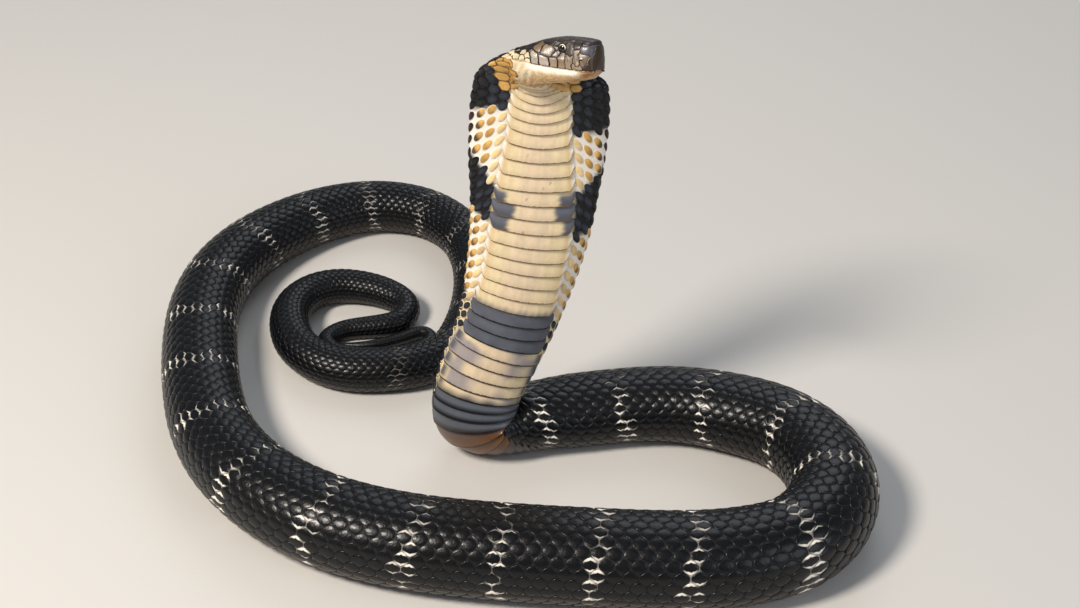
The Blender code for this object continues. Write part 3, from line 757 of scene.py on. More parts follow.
def scaleColours(s, a):
    # colours of each scale by its middle: centre, rim, how wide the rim is, and how dark its rear half
    out = abs(a) / scuteEdge
    light = hoodLight(s, a, soft=0.6) > 0.5
    centre = np.repeat(tint["black"][None], len(s), axis=0)
    edge = np.repeat(tint["blackEdge"][None], len(s), axis=0)
    dark = np.zeros(len(s))
    lowSide = ramp(out, 0.80, 0.92) * ramp(s, 405, 480)
    centre = blend(centre, tint["brown"], lowSide)
    edge = blend(edge, tint["brownEdge"], lowSide * 0.7)
    # painted sheen: the black scales beside the belly on the hood and neck are tinted slate
    centre = blend(centre, tint["slate"], 0.34 * ramp(out, 0.74, 0.86) * (1 - ramp(s, 330, 380)))
    edge = np.where(light[:, None], tint["white"], edge)
    width = np.where(light, 0.11, 0.07)
    # the rows of the hood's light zones, from the belly to the spine: from, to, centre, rear half
    hoodRows = (
        (0.90, 9, tint["cream"] * 0.55 + tint["ochre"] * 0.45, 0),
        (0.81, 0.90, tint["ochre"], np.where(s > 178, 0.75, 0.30)),
        (0.71, 0.81, tint["ochre"], 0.9),
        (0.48, 0.71, tint["spot"], 0),
        (-1, 0.48, tint["backCream"], 0.5),
    )
    for inner, outer, tone, rear in hoodRows:
        here = light & (out > inner) & (out <= outer)
        centre = np.where(here[:, None], tone, centre)
        dark = np.where(here, rear, dark)
    # pale rims beside the belly below the hood, cream behind the mouth, ochre beside the throat
    belowHood = (s > 246) & (s < 322) & (out > 0.84)
    cheek = (s < 57) & (out > 0.55)
    besideThroat = (s > 53) & (((s < 81) & (out > 0.90)) | ((s < 66) & (out > 0.81)))
    for here, tone, rimTone, rimWidth in (
        (belowHood, centre, tint["cream"], 0.20),
        (cheek, tint["cream"] * 0.9, tint["brown"], 0.14),
        (besideThroat, tint["ochre"], tint["ochreDark"], 0.16),
    ):
        centre = np.where(here[:, None], tone, centre)
        edge = np.where(here[:, None], rimTone, edge)
        width = np.where(here, rimWidth, width)
    spread = 1 + scaleShape["toneSpread"] * (rng.random(len(s)) - 0.5) * 2
    return centre * spread[:, None], edge, width, dark


def scaleReach(angle, pitch, wide, rounding):
    # the six-sided cell that staggered rows leave each scale, its corners rounded towards an oval
    c, n = abs(np.cos(angle)), abs(np.sin(angle))
    long = pitch / 2
    slant = (long ** 2 + wide ** 2) / 2
    hexagon = np.minimum(long / np.maximum(c, 1e-6), slant / np.maximum(c * long + n * wide, 1e-6))
    oval = 1 / np.sqrt((c / long) ** 2 + (n * wide / slant) ** 2)
    reach = hexagon * (1 - rounding) + oval * rounding
    gap = scaleShape["gap"] * np.clip(pitch / 10, 0.15, 1)
    return np.maximum(reach - gap, 0.5 * reach)


def buildScales():
    places, faces = modelScale()
    onTop = places[None, :, 2] > -0.5
    radius = np.minimum(np.hypot(places[:, 0], places[:, 1]), 1)[None]
    angle = np.arctan2(places[:, 1], places[:, 0])[None]
    scales = layOutScales()
    # where the scutes of the neck reach furthest out, the row beside them is left to them
    beside = (abs(scales[:, 1]) > 0.9 * scuteEdge) & (scales[:, 0] > 272) & (scales[:, 0] < 345)
    s, a, pitch, wide, rows = scales[~beside].T
    pitch, wide, rows = pitch[:, None], wide[:, None], rows[:, None]
    # on the hood they are narrow ovals that lean outwards
    onHood = plateau(s, 80, 100, 235, 290)[:, None]
    rounding = scaleShape["rounding"] + (scaleShape["hoodRounding"] - scaleShape["rounding"]) * onHood
    reach = radius * scaleReach(angle, pitch, wide, rounding)
    x = reach * np.cos(angle)
    y = reach * np.sin(angle) * (1 - onHood * (1 - scaleShape["hoodWide"]))
    lean = scaleShape["hoodLean"] * onHood * ramp(abs(a) / scuteEdge, 0.35, 0.8)[:, None]
    y = y - np.sign(a)[:, None] * lean * x
    x = np.where(x > 0, x * scaleShape["overlap"], x)
    along = x / (pitch / 2)
    dome = scaleShape["dome"] * (1 + 0.5 * onHood) * radius ** 2.6
    height = scaleShape["tilt"] * along - scaleShape["sink"] - dome
    height = np.where(onTop, height, height - scaleShape["wall"]) * coatDepth(s)[:, None]
    place, normal = lookUp(s[:, None] + x, a[:, None] + y * 2 * scuteEdge / rows / wide)
    place = place + normal * height[..., None]
    place[..., 2] = np.maximum(place[..., 2], 0.05)
    centre, edge, width, dark = scaleColours(s, a)
    towardsRim = -np.sign(a)[:, None] * np.sin(angle)
    shade = (ramp(along + 0.5 * radius * towardsRim, -0.25, 0.35) * dark[:, None])[..., None]
    centreAll = centre[:, None] * (1 - shade) + tint["spot"] * shade
    # a dark scale is painted palest on its crown and black at its foot: a painted highlight on its dome and
    # painted shade round its foot
    isDark = (centre.max(axis=1) < 0.15)[:, None]
    centreAll = centreAll * (1.12 - 0.62 * ramp(radius, 0.15, 0.95) * isDark)[..., None]
    # in a pale band the white lies along the sides of each scale, as short dashes of uneven length
    flanks = rng.random(len(s))[:, None], rng.random(len(s))[:, None]
    flank = np.where(np.sin(angle) > 0, *flanks)
    dash = ramp(abs(np.sin(angle)) + 0.25 * (flank - 0.5), 0.55, 0.85) * (flank > 0.2)
    dash = dash * bandLight(s, a, half=5.6, soft=0.8)[:, None]
    attributes = {
        "centreColour": centreAll,
        "edgeColour": blend(edge[:, None], tint["white"], dash),
        "rim": np.repeat(radius, len(s), axis=0),
        "rimWidth": width[:, None] + dash * (0.14 + 0.18 * flank),
    }
    rootU, rootV = (v[:, None] for v in unwrapPlace(s, a))
    patches = np.stack([rootU + 0.0015 * places[None, :, 0], rootV + 0.0015 * places[None, :, 1]], axis=-1)
    material = keratin("backScaleHorn", 0.34, wrinkle=0.5, wrinkleSize=1.8, coat=0.12, shine=0.3)
    for name, low, high in scalePieces:
        chosen = (s >= low) & (s < high)
        layers = {key: values[chosen] for key, values in attributes.items()}
        piece = joinCopies(name, place[chosen], faces, layers, patches[chosen])
        finishPiece(piece, material)


buildScales()


# the head: one dense mesh, cut into shields by the seams between given middles
headShape = {
    "capRows": 22, "columns": 336, "bulge": 0.9, "seam": 0.26, "seamDepth": 0.30, "dome": 0.22,
    "waver": 1.1, "lipGroove": 0.35, "snoutGroove": 0.9, "folds": 0.30, "foldPitch": 5.2,
    "opening": 2.62, "openingDepth": 2.4, "lidRise": 0.5,
    "nostril": (6.3, 6.0), "nostrilLong": 1.2, "nostrilHigh": 0.9, "nostrilDepth": 1.4,
    "gularPitch": 4.4, "sunk": 1.7,
}
headColours = {
    "shieldSeam": "#0B0A0B", "snoutSeam": "#171211", "rostralSeam": "#9A8E7C", "cheekSeam": "#241D18",
    "jawSeam": "#A57C4E", "throatSeam": "#8C7148", "tongueGap": "#5E4122", "palePatch": "#CDBDA6",
    "speck": "#3A2E28", "stripe": "#14161F", "lip": "#F7EFDF",
    "throat": "#CBA878", "cheek": "#DCC9A6", "nape": "#221E1E",
}
headTint = {name: linear(value) for name, value in headColours.items()}
# shield: its colour, then distance from the snout and place round the head of its middles
# distances below 0 lie on the rounded tip of the snout
# the single shields cross the middle of the head, the paired ones stand on either side of it
singleShields = {
    "rostral": ("#40301F", [(-5, 4), (-2.2, 1.5), (-2.4, 4.4), (-1.4, 5.9), (-0.8, 6.9), (0.4, 6.1)]),
    "frontal": ("#3B3433", [(13.8, 0), (14.0, 0.55), (16.6, 0.25), (19.6, 0)]),
    # the mental's warm colour is its own, its darker brown partly painted shade under the snout
    "mental": ("#A9805A", [(-2.2, 12), (-0.6, 12.5), (0.8, 14)]),
}
pairedShields = {
    "internasal": ("#38312F", [(1.5, 1.1), (3.2, 1.0), (3.5, 2.3)]),
    "nasalFront": ("#56545D", [(4.1, 4.6), (2.2, 4.25), (0.7, 4.3), (0.2, 3.7)]),
    "nasalMiddle": ("#7D6B5B", [(4.8, 5.45), (4.7, 6.15), (6.6, 5.4)]),
    "nasalRear": ("#94816F", [(8.9, 5.7), (8.5, 6.25), (9.2, 5.0)]),
    "prefrontal": ("#3A3331", [(8.8, 0.8), (8.6, 2.2), (9.0, 3.3), (9.4, 3.95)]),
    "preocular": ("#463A34", [(13.6, 4.4), (13.4, 3.7), (13.7, 5.0)]),
    "supraocular": ("#37302E", [(14.4, 2.1), (17.6, 2.3), (20.6, 2.4)]),
    "parietal": ("#3D3430", [(24.2, 0.9), (27.8, 0.9), (31.2, 0.75), (24.9, 2.6), (28.5, 2.6), (31.6, 2.0)]),
    "occipital": ("#42362F", [(35.6, 0.8), (39.4, 0.9), (36.6, 2.1)]),
    "upperPostocular": ("#4F453F", [(21.9, 3.6)]),
    "middlePostocular": ("#7D6D5E", [(22.3, 4.4)]),
    "lowerPostocular": ("#74665A", [(21.7, 5.05)]),
    "frontTemporal": ("#84705F", [(24.8, 4.75), (27.3, 4.75), (29.9, 4.55), (26.0, 4.9)]),
    "rearTemporal": ("#80664C", [(34.1, 4.2), (36.6, 3.7), (34.0, 3.3)]),
    "supralabial1": ("#3B2A1E", [(3.1, 6.95)]),
    "supralabial2": ("#8E7C66", [(7.4, 6.95), (10.2, 6.8)]),
    "supralabial3": ("#8C7A64", [(14.1, 6.95), (14.1, 6.3), (14.0, 5.75)]),
    "supralabial4": ("#887460", [(18.2, 6.95), (18.2, 6.3), (18.2, 5.75)]),
    "supralabial5": ("#937E69", [(22.9, 6.45), (23.7, 7.5)]),
    "supralabial6": ("#ADA092", [(28.3, 6.9), (30.3, 6.35), (28.7, 7.5)]),
    "supralabial7": ("#A89C8D", [(35.2, 6.5), (37.0, 5.1), (35.4, 7.2)]),
    # the infralabials' warm colours are their own; their darkening towards the snout is painted shade under
    # the snout
    "infralabial1": ("#9A7048", [(2.6, 10.1)]),
    "infralabial2": ("#B58C5E", [(6.4, 10.1)]),
    "infralabial3": ("#C9A474", [(11.2, 10.1)]),
    "infralabial4": ("#D2B182", [(16.8, 10.1)]),
    "infralabial5": ("#D4B486", [(22.6, 10.1)]),
    "infralabial6": ("#D4B588", [(28.4, 10.0)]),
    "infralabial7": ("#D6BA90", [(34.0, 9.9)]),
    "frontChin": ("#C2966A", [(5.2, 12.9), (8.8, 12.9), (12.0, 12.9)]),
    "rearChin": ("#C79F70", [(16.4, 13.0), (20.4, 13.0)]),
}
tipMiddle = surface(np.zeros(1), np.linspace(-14, 14, 57)[None])[0].mean(axis=0)


def headPlace(s, u):
    place = surface(np.maximum(s, 0), u)
    inwards = np.clip(1 + s / 6, 0, 1)[:, None, None]
    rounded = tipMiddle + (place - tipMiddle) * inwards + forward * headShape["bulge"] * (1 - inwards ** 2)
    return lipsBack(np.where((s < 0)[:, None, None], rounded, place))


def shieldMiddles():
    # every middle with the number of its shield, and each shield's colour
    rows = []
    colours = []
    for table, crossesMiddle in ((singleShields, True), (pairedShields, False)):
        for colour, middles in table.values():
            for side in (1, -1):
                rows += [(s, u * side, len(colours)) for s, u in middles]
                if side == -1 or not crossesMiddle:
                    colours.append(linear(colour))
    # small scales fill the nape, the cheek behind the mouth and the throat
    taken = headPlace(np.array([row[0] for row in rows]), np.array([[row[1]] for row in rows]))[:, 0]
    pitch = headShape["gularPitch"]
    fine = np.linspace(0, 14, 141)
    for row, s in enumerate(np.arange(24, 82, pitch * 0.9)):
        at = np.array([s])
        arc = walked(headPlace(at, fine[None])[0])
        offsets = np.arange(pitch / 4 + (row % 2) * pitch / 2, arc[-1] - 0.4 * pitch, pitch)
        for u in np.interp(arc[-1] - offsets, arc, fine):
            inThroat = u > 10.7
            if (not inThroat and s < 38.5) or (u < 2.6 and s < 42.5):
                continue
            for side in (1, -1):
                place = headPlace(at, np.array([[u * side]]))[0, 0]
                if np.linalg.norm(taken - place, axis=1).min() < 0.62 * pitch:
                    continue
                rows.append((s, u * side, len(colours)))
                tone = headTint["throat" if inThroat else "cheek" if u > 4.2 else "nape"]
                colours.append(tone * (0.95 + 0.1 * rng.random()))
    rows = np.array(rows)
    return headPlace(rows[:, 0], rows[:, 1:2])[:, 0], rows[:, 2].astype(int), rows, np.array(colours)


# long ochre scales like tongues between the cheek and the throat: distance and place along each
tongueShape = {"radius": 2.05, "rise": 0.95}
tonguePaths = [
    ("#C69345", [(63, 8.3), (59, 8.8), (54.5, 9.2)]),
    ("#C08C40", [(68.5, 8.7), (63, 9.3), (57, 9.9), (52, 10.2)]),
    ("#C4944A", [(73, 9.0), (69, 9.6), (64, 10.2), (59, 10.7)]),
    ("#CBA05A", [(77.5, 9.1), (75.2, 9.8), (72, 10.5), (68, 11.1)]),
]


def nearTongues(points):
    # how far each point is from the nearest tongue, 1 at its side, and that tongue's colour
    nearest = np.full(len(points), 9.0)
    colour = np.zeros((len(points), 3))
    for tone, path in tonguePaths:
        share = np.linspace(0, 1, len(path))
        s, u = (np.interp(np.linspace(0, 1, 14), share, column) for column in zip(*path))
        for side in (1, -1):
            middle = headPlace(s, u[:, None] * side)[:, 0]
            away = np.linalg.norm(points[:, None] - middle[None], axis=-1).min(axis=1) / tongueShape["radius"]
            colour = np.where((away < nearest)[:, None], linear(tone), colour)
            nearest = np.minimum(nearest, away)
    return nearest, colour


def nearestShields(points, mouthSide, middles, labels, middleSide):
    # the shield of each point, and its distance from the nearest seam
    own = np.zeros(len(points), dtype=int)
    edge = np.zeros(len(points))
    for start in range(0, len(points), 6000):
        part = slice(start, start + 6000)
        away = np.linalg.norm(points[part, None] - middles[None], axis=-1)
        away = away + 50 * (mouthSide[part, None] * middleSide[None] < 0)
        first = away.argmin(axis=1)
        near = away[np.arange(len(first)), first]
        other = np.where(labels[None] == labels[first][:, None], 1e6, away)
        second = other.argmin(axis=1)
        far = other[np.arange(len(second)), second]
        apart = np.linalg.norm(middles[first] - middles[second], axis=1)
        own[part] = labels[first]
        edge[part] = np.minimum((far ** 2 - near ** 2) / (2 * apart), 20)
    return own, edge


def eyeMiddle(side):
    at = np.array([eyeShape["fromSnout"]])
    fine = np.linspace(2, 7, 201)
    x, z = headOutline(at, fine[None])
    across = np.interp(eyeShape["height"], -z[0][::-1], x[0][::-1])
    centre, tailward, belly, right = (v[0] for v in lineFrame(at))
    middle = centre + right * side * (across - eyeShape["sink"]) - belly * eyeShape["height"]
    looks = unit(right * side * 1.0 + forward * 0.16 - throat * 0.10)
    return middle, looks


def headRelief(s, around, above, edge, tongueAway):
    # domed shields between sunk seams, the groove of the mouth, the tongues and the folds behind them
    faint = np.where((above < 0) | (s > 40), 0.45, 1) * np.where(s < 12, 0.7, 1)
    relief = headShape["dome"] * (1 - np.exp(-edge / 1.1)) - 0.12
    relief -= headShape["seamDepth"] * faint * np.exp(-(edge / headShape["seam"]) ** 2)
    onCap = 1 - ramp(s, -0.5, 1.5)
    groove = headShape["snoutGroove"] * onCap + headShape["lipGroove"] * (1 - onCap)
    relief -= groove * np.exp(-(above / 0.42) ** 2) * (1 - ramp(s, 39, 43))
    raised = tongueShape["rise"] * np.sqrt(np.clip(1 - tongueAway ** 2, 0, 1)) - 0.3
    onTongue = tongueAway < 1.3
    relief = np.where(onTongue, raised, relief)
    # loose folds of the cheek and throat, running back and down from the corner of the mouth
    folded = plateau(s, 33, 43, 70, 79) * ramp(abs(around), 8, 10) * ~onTongue
    folds = np.sin(2 * math.pi * (s - 4.2 * (abs(around) - 9.9)) / headShape["foldPitch"])
    # the troughs of the folds are also given back, as where painted shade lies
    return relief + headShape["folds"] * folds * folded, folded * ramp(-folds, 0.3, 1)


def headColour(s, around, above, colour, foldShade, tongueAway, tongueColour, lipWhite):
    out = abs(around)
    upper = (above > 0) & (out > 5.4) & (s < 40)
    colour = np.where(upper[:, None], colour * (1.18 - 0.30 * ramp(above, 0.3, 6))[:, None], colour)
    blotch = 0.90 + 0.20 * softNoise(s * 0.55 + 7, around * 1.3, 4)
    # painted shade: a little darker in the troughs of the folds
    colour = colour * (blotch * (1 - 0.07 * foldShade))[:, None]
    # painted shade: each tongue scale is painted lighter along its middle and darker towards its sides
    tongue = tongueColour * (1.08 - 0.3 * np.minimum(tongueAway, 1) ** 2)[:, None]
    colour = np.where((tongueAway < 1.3)[:, None], tongue, colour)
    # pale patches and dark specks round the nostril, and the dark stripe where the parietals end
    palePatch = ramp(softNoise(s * 1.3, around * 3.1, 9), 0.55, 0.8)
    palePatch = palePatch * plateau(s, 4.2, 5.5, 9.5, 11) * plateau(out, 5, 5.5, 6.4, 6.9)
    speck = ramp(softNoise(s * 1.9, around * 4.3, 12), 0.66, 0.82)
    speck = speck * plateau(s, 4, 5, 15, 19) * ramp(out, 4.6, 5.2) * ramp(above, 0.4, 1)
    stripe = np.exp(-((out - 3.75 + 0.085 * (s - 24)) / 0.28) ** 2) * plateau(s, 21, 24, 31, 34)
    for name, share in (
        ("tongueGap", 0.85 * plateau(tongueAway, 0.86, 1.05, 1.2, 1.4)),
        ("palePatch", 0.6 * palePatch),
        ("speck", 0.6 * speck),
        ("stripe", 0.9 * stripe),
        ("lip", lipWhite),
    ):
        colour = blend(colour, headTint[name], share)
    return colour


def headSeams(s, around, above, own, edge, lipWhite, tongueAway):
    # the seams' colour and width, and how near each point is to one
    colour = np.repeat(headTint["shieldSeam"][None], len(s), axis=0)
    for name, here in (
        ("throatSeam", s > 40),
        ("jawSeam", above < 0),
        ("snoutSeam", (s < 12) & (above > 0)),
        ("rostralSeam", (own == 0) & (above > 3.8)),
        ("cheekSeam", (s > 40) & (above > 1)),
    ):
        colour = np.where(here[:, None], headTint[name], colour)
    wide = np.where(s < 12, 0.30, np.where((s > 19.5) & (s < 40) & (abs(around) > 3.4), 0.50, 0.26))
    wide = np.where(above < 0, 0.10 * (1 - lipWhite), wide)
    wide = np.where((s > 41) & (above < 1), 0.06, wide)
    wide = np.where((s > 40) & (above > 1), 0.34, wide)
    mouthLine = 0.98 * np.exp(-(above / 0.38) ** 2) * (1 - ramp(s, 38, 42))
    rim = np.maximum(1 - np.clip(edge, 0, 1), mouthLine)
    return colour, wide, np.where(tongueAway < 1.3, 0, rim)


def openEyes(flat, relief, rim):
    # a round opening over each eye, with a low lid about it
    for side in (1, -1):
        middle, looks = eyeMiddle(side)
        away = flat - middle
        depth = away @ looks
        across = np.linalg.norm(away - depth[:, None] * looks, axis=1)
        near = depth > -1.5
        lid = headShape["lidRise"] * np.exp(-((across - 2.95) / 0.33) ** 2)
        inside = 1 - ramp(across, headShape["opening"] - 0.22, headShape["opening"] + 0.02)
        move = np.where(near, lid * (1 - inside) - headShape["openingDepth"] * inside, 0)
        relief = np.where(near & (across < 4), relief * ramp(across, 3.0, 3.8), relief)
        flat = flat + looks * move[:, None]
        rim = np.where(near & (across < 3.3), np.maximum(rim, 1 - ramp(across, 3.05, 3.35)), rim)
    return flat, relief, rim


def openNostrils(flat, relief, rim):
    # a slanting oval pit on each side, with a low rim
    fromSnout, place = headShape["nostril"]
    for side in (1, -1):
        away = flat - headPlace(np.array([fromSnout]), np.array([[place * side]]))[0, 0]
        lengthways = away @ unit(forward * 0.8 - throat * 0.6) / headShape["nostrilLong"]
        upwards = away @ unit(throat * 0.8 + forward * 0.6) / headShape["nostrilHigh"]
        sideways = away @ unit(np.cross(forward, throat)) / 3
        deep = lengthways ** 2 + upwards ** 2 + sideways ** 2
        pit = np.exp(-deep ** 2)
        raised = 0.22 * np.exp(-((np.sqrt(deep) - 1.35) / 0.3) ** 2)
        relief = relief - headShape["nostrilDepth"] * pit + raised
        rim = np.maximum(rim, 0.99 * ramp(pit, 0.25, 0.6))
    return relief, rim


def headGrid():
    # rows close together at the snout, columns at even arc lengths with the groove of the mouth
    rows = np.concatenate([
        np.linspace(-6, 0, headShape["capRows"])[:-1], np.arange(0, 41, 0.27),
        np.arange(41, 54, 0.36), np.arange(54, 80.5, 0.7),
    ])
    fine = np.linspace(0, 14, 281)
    u = []
    for s in np.clip(rows, 0, shape["jaws"]):
        arc = walked(surface(np.array([s]), fine[None])[0])
        half = np.interp(np.linspace(0, arc[-1], headShape["columns"] // 2 + 1), arc, fine)
        u.append(np.concatenate([-half[:0:-1], half]))
    return rows, np.array(u)


def buildHead():
    rows, u = headGrid()
    place = headPlace(rows, u)
    flat, out = place.reshape(-1, 3), chartNormals(place).reshape(-1, 3)
    s, around = np.repeat(rows, u.shape[1]), u.ravel()
    above = overMouth(flat)
    middles, labels, middleRows, colours = shieldMiddles()
    # as far as the corner of the mouth no shield crosses its line
    mouthSide = np.where(s > 41.5, 0, np.sign(above))
    middleSide = np.where(middleRows[:, 0] > 41, 0, np.where(abs(middleRows[:, 1]) < 8.2, 1, -1))
    waver = [softNoise(s * 0.45 + 3 * k, around * 1.1, 20 + k) - 0.5 for k in range(3)]
    wavering = flat + headShape["waver"] * np.stack(waver, axis=1)
    own, edge = nearestShields(wavering, mouthSide, middles, labels, middleSide)
    tongueAway, tongueColour = nearTongues(flat)
    # the lower lip is white, its front and the chin warm
    lipWhite = (1 - ramp(-above, 2.0, 5.2)) * plateau(s, 5, 12, 38, 46) * ((above < 0) & (s < 47))
    relief, foldShade = headRelief(s, around, above, edge, tongueAway)
    colour = headColour(s, around, above, colours[own], foldShade, tongueAway, tongueColour, lipWhite)
    seamColour, wide, rim = headSeams(s, around, above, own, edge, lipWhite, tongueAway)
    flat, relief, rim = openEyes(flat, relief, rim)
    relief, rim = openNostrils(flat, relief, rim)
    # behind the jaws the mesh sinks below the back scales, and at its end below the skin
    bodyAround = np.interp(abs(around), (0, 9, 14), (0, scuteEdge, 1))
    sink = ramp(s, 50.5, 54) * (1 - ramp(bodyAround, 0.73, 0.78)) + ramp(s, 78, 80.4)
    sink = np.clip(sink, 0, 1)
    flat = flat + out * (relief * (1 - sink) - headShape["sunk"] * sink)[:, None]
    piece, row, column = wrapGrid("headShields", flat.reshape(place.shape))
    layers = {"centreColour": colour, "edgeColour": seamColour, "rim": rim, "rimWidth": wide}
    for name, values in layers.items():
        paint(piece, name, values.reshape(*place.shape[:2], *values.shape[1:])[row, column])
    closeSeams(piece)
    # thick smooth horn over dark pigment, satin, each shield with a dark seam round it
    material = keratin(
        "headShieldHorn", 0.36, wrinkle=0.14, wrinkleSize=1.0, tone=0.20, coat=0.14, edgeSoft=0.10, shine=0.4)
    finishPiece(piece, material)


buildHead()


# the eyes: a ball with a bulging clear front, a round pupil and a narrow gold iris
eyeColours = {"pupil": "#050405", "irisLow": "#3A2C1A", "irisHigh": "#FFF6DC", "rim": "#0A0808"}


def eyeMaterial():
    # wet cornea: clear and mirror smooth over a dark pupil and a pale gold iris
    material, tree, shader = newMaterial("wetEye", 0.10, ior=1.376, coat=1.0, coatRoughness=0.02)
    tone = {name: (*linear(value), 1) for name, value in eyeColours.items()}
    place = addNode(tree, "ShaderNodeTexCoord", output="Object")
    out = addNode(tree, "ShaderNodeAttribute", {"attribute_name": "fromPupil"}, output="Fac")
    bright = addNode(tree, "ShaderNodeAttribute", {"attribute_name": "upFront"}, output="Fac")
    # fibres of about 0.4 mm fray the rings
    fibres = addNode(tree, "ShaderNodeTexNoise", {"Scale": 2600, "Detail": 3}, {"Vector": place})
    fibres = addNode(tree, "ShaderNodeMath", {"operation": "MULTIPLY_ADD", 1: 0.08, 2: -0.04}, {0: fibres})
    reach = addNode(tree, "ShaderNodeMath", {"operation": "ADD"}, {0: out, 1: fibres})
    pupilEdge = {"interpolation_type": "SMOOTHSTEP", "From Min": 0.53, "From Max": 0.58}
    irisEdge = {"interpolation_type": "SMOOTHSTEP", "From Min": 0.69, "From Max": 0.75}
    pastPupil = addNode(tree, "ShaderNodeMapRange", pupilEdge, {"Value": reach})
    pastIris = addNode(tree, "ShaderNodeMapRange", irisEdge, {"Value": reach})
    irisTones = {"data_type": "RGBA", 6: tone["irisLow"], 7: tone["irisHigh"]}
    iris = addNode(tree, "ShaderNodeMix", irisTones, {"Factor": bright}, 2)
    inner = {"data_type": "RGBA", 6: tone["pupil"]}
    colour = addNode(tree, "ShaderNodeMix", inner, {"Factor": pastPupil, 7: iris}, 2)
    outer = {"data_type": "RGBA", 7: tone["rim"]}
    colour = addNode(tree, "ShaderNodeMix", outer, {"Factor": pastIris, 6: colour}, 2)
    tree.links.new(colour, shader.inputs["Base Color"])
    return material


def buildEyes():
    material = eyeMaterial()
    for name, side, node in (("eyeRight", 1, "eye_right"), ("eyeLeft", -1, "eye_left")):
        middle, looks = eyeMiddle(side)
        deselect()
        bpy.ops.mesh.primitive_uv_sphere_add(segments=56, ring_count=40, radius=1)
        piece = bpy.context.object
        piece.name = piece.data.name = name
        ball = np.array([vertex.co for vertex in piece.data.vertices])
        upwards = unit(-throat + looks * (throat @ looks))
        sideways = np.cross(upwards, looks)
        lateral = np.hypot(ball[:, 0], ball[:, 1])
        cornea = 1 + 0.05 * ramp(ball[:, 2], 0.55, 1.0)
        axes = np.stack([sideways, upwards, looks])
        place = middle + eyeShape["radius"] * (ball * cornea[:, None]) @ axes
        piece.data.vertices.foreach_set("co", (place * mm).ravel())
        piece.location = (0, 0, 0)
        # the pupil sits a little low and back: the iris is widest and brightest above and in front of it
        towardsSnout = np.sign(sideways @ forward)
        pupil = np.hypot(ball[:, 0] + 0.06 * towardsSnout, ball[:, 1] + 0.07)
        fromPupil = np.where(ball[:, 2] > 0, pupil, 1)
        facing = ball[:, 1] * 0.93 + ball[:, 0] * towardsSnout * 0.36
        upFront = np.clip(0.35 + 1.1 * facing / np.maximum(lateral, 0.05), 0, 1)
        paint(piece, "fromPupil", fromPupil)
        paint(piece, "upFront", upFront)
        closeSeams(piece, 0.000001)
        finishPiece(piece, material, [node])


buildEyes()


# the belly scutes: one overlapping plate each, from side to side of the belly
scuteShape = {
    "columns": 44, "rows": (0, 0.12, 0.26, 0.42, 0.58, 0.74, 0.87, 0.96, 1.0), "over": 1.02,
    "cover": 1.08, "lift": 1.05, "floorLift": 0.25, "sink": 0.45, "thick": 1.1, "sag": 5.5,
}
# where the scutes of the throat and hood begin
throatScutes = (66, 71, 76, 81.5, 87.5, 94, 101.5, 110, 120, 130.5, 141, 151.5, 162, 172.5, 183, 193.5)
# where a scute begins, and how far in its slate patch reaches on the animal's right and left
scutePatches = ((151.5, 0.62, 0.55), (162, 0.38, 0.47), (172.5, 0.50, 0.70))
# each joined mesh of scutes, from and to
scutePieces = (("bellyScutes", 0, 1700), ("tailScutes", 1700, 9000))


def scuteStarts():
    starts = [*throatScutes, 204]
    while starts[-1] < bodyLength - 6:
        s = starts[-1]
        pitch = 10 if s < 313 else 6.6 if s < 382 else float(scalePitch(np.array([s]))[0])
        starts.append(s + pitch)
    return np.array(starts)


def slatePatches(b, t, start, number):
    # they run in from the ends of three scutes of the hood, with feathered inner ends
    reach = np.full(b.shape, 1.2)
    for row, rightReach, leftReach in scutePatches:
        reach = np.where(abs(start - row) < 1, np.where(b > 0, rightReach, leftReach), reach)
    feather = 0.07 * (softNoise(9 * t, number, 7) - 0.5) + 0.03 * np.sin(23 * t)
    patch = ramp(abs(b) + feather, reach - 0.03, reach + 0.12)
    return patch * np.where(abs(start - scutePatches[0][0]) < 1, ramp(t, 0.15, 0.45), 1)


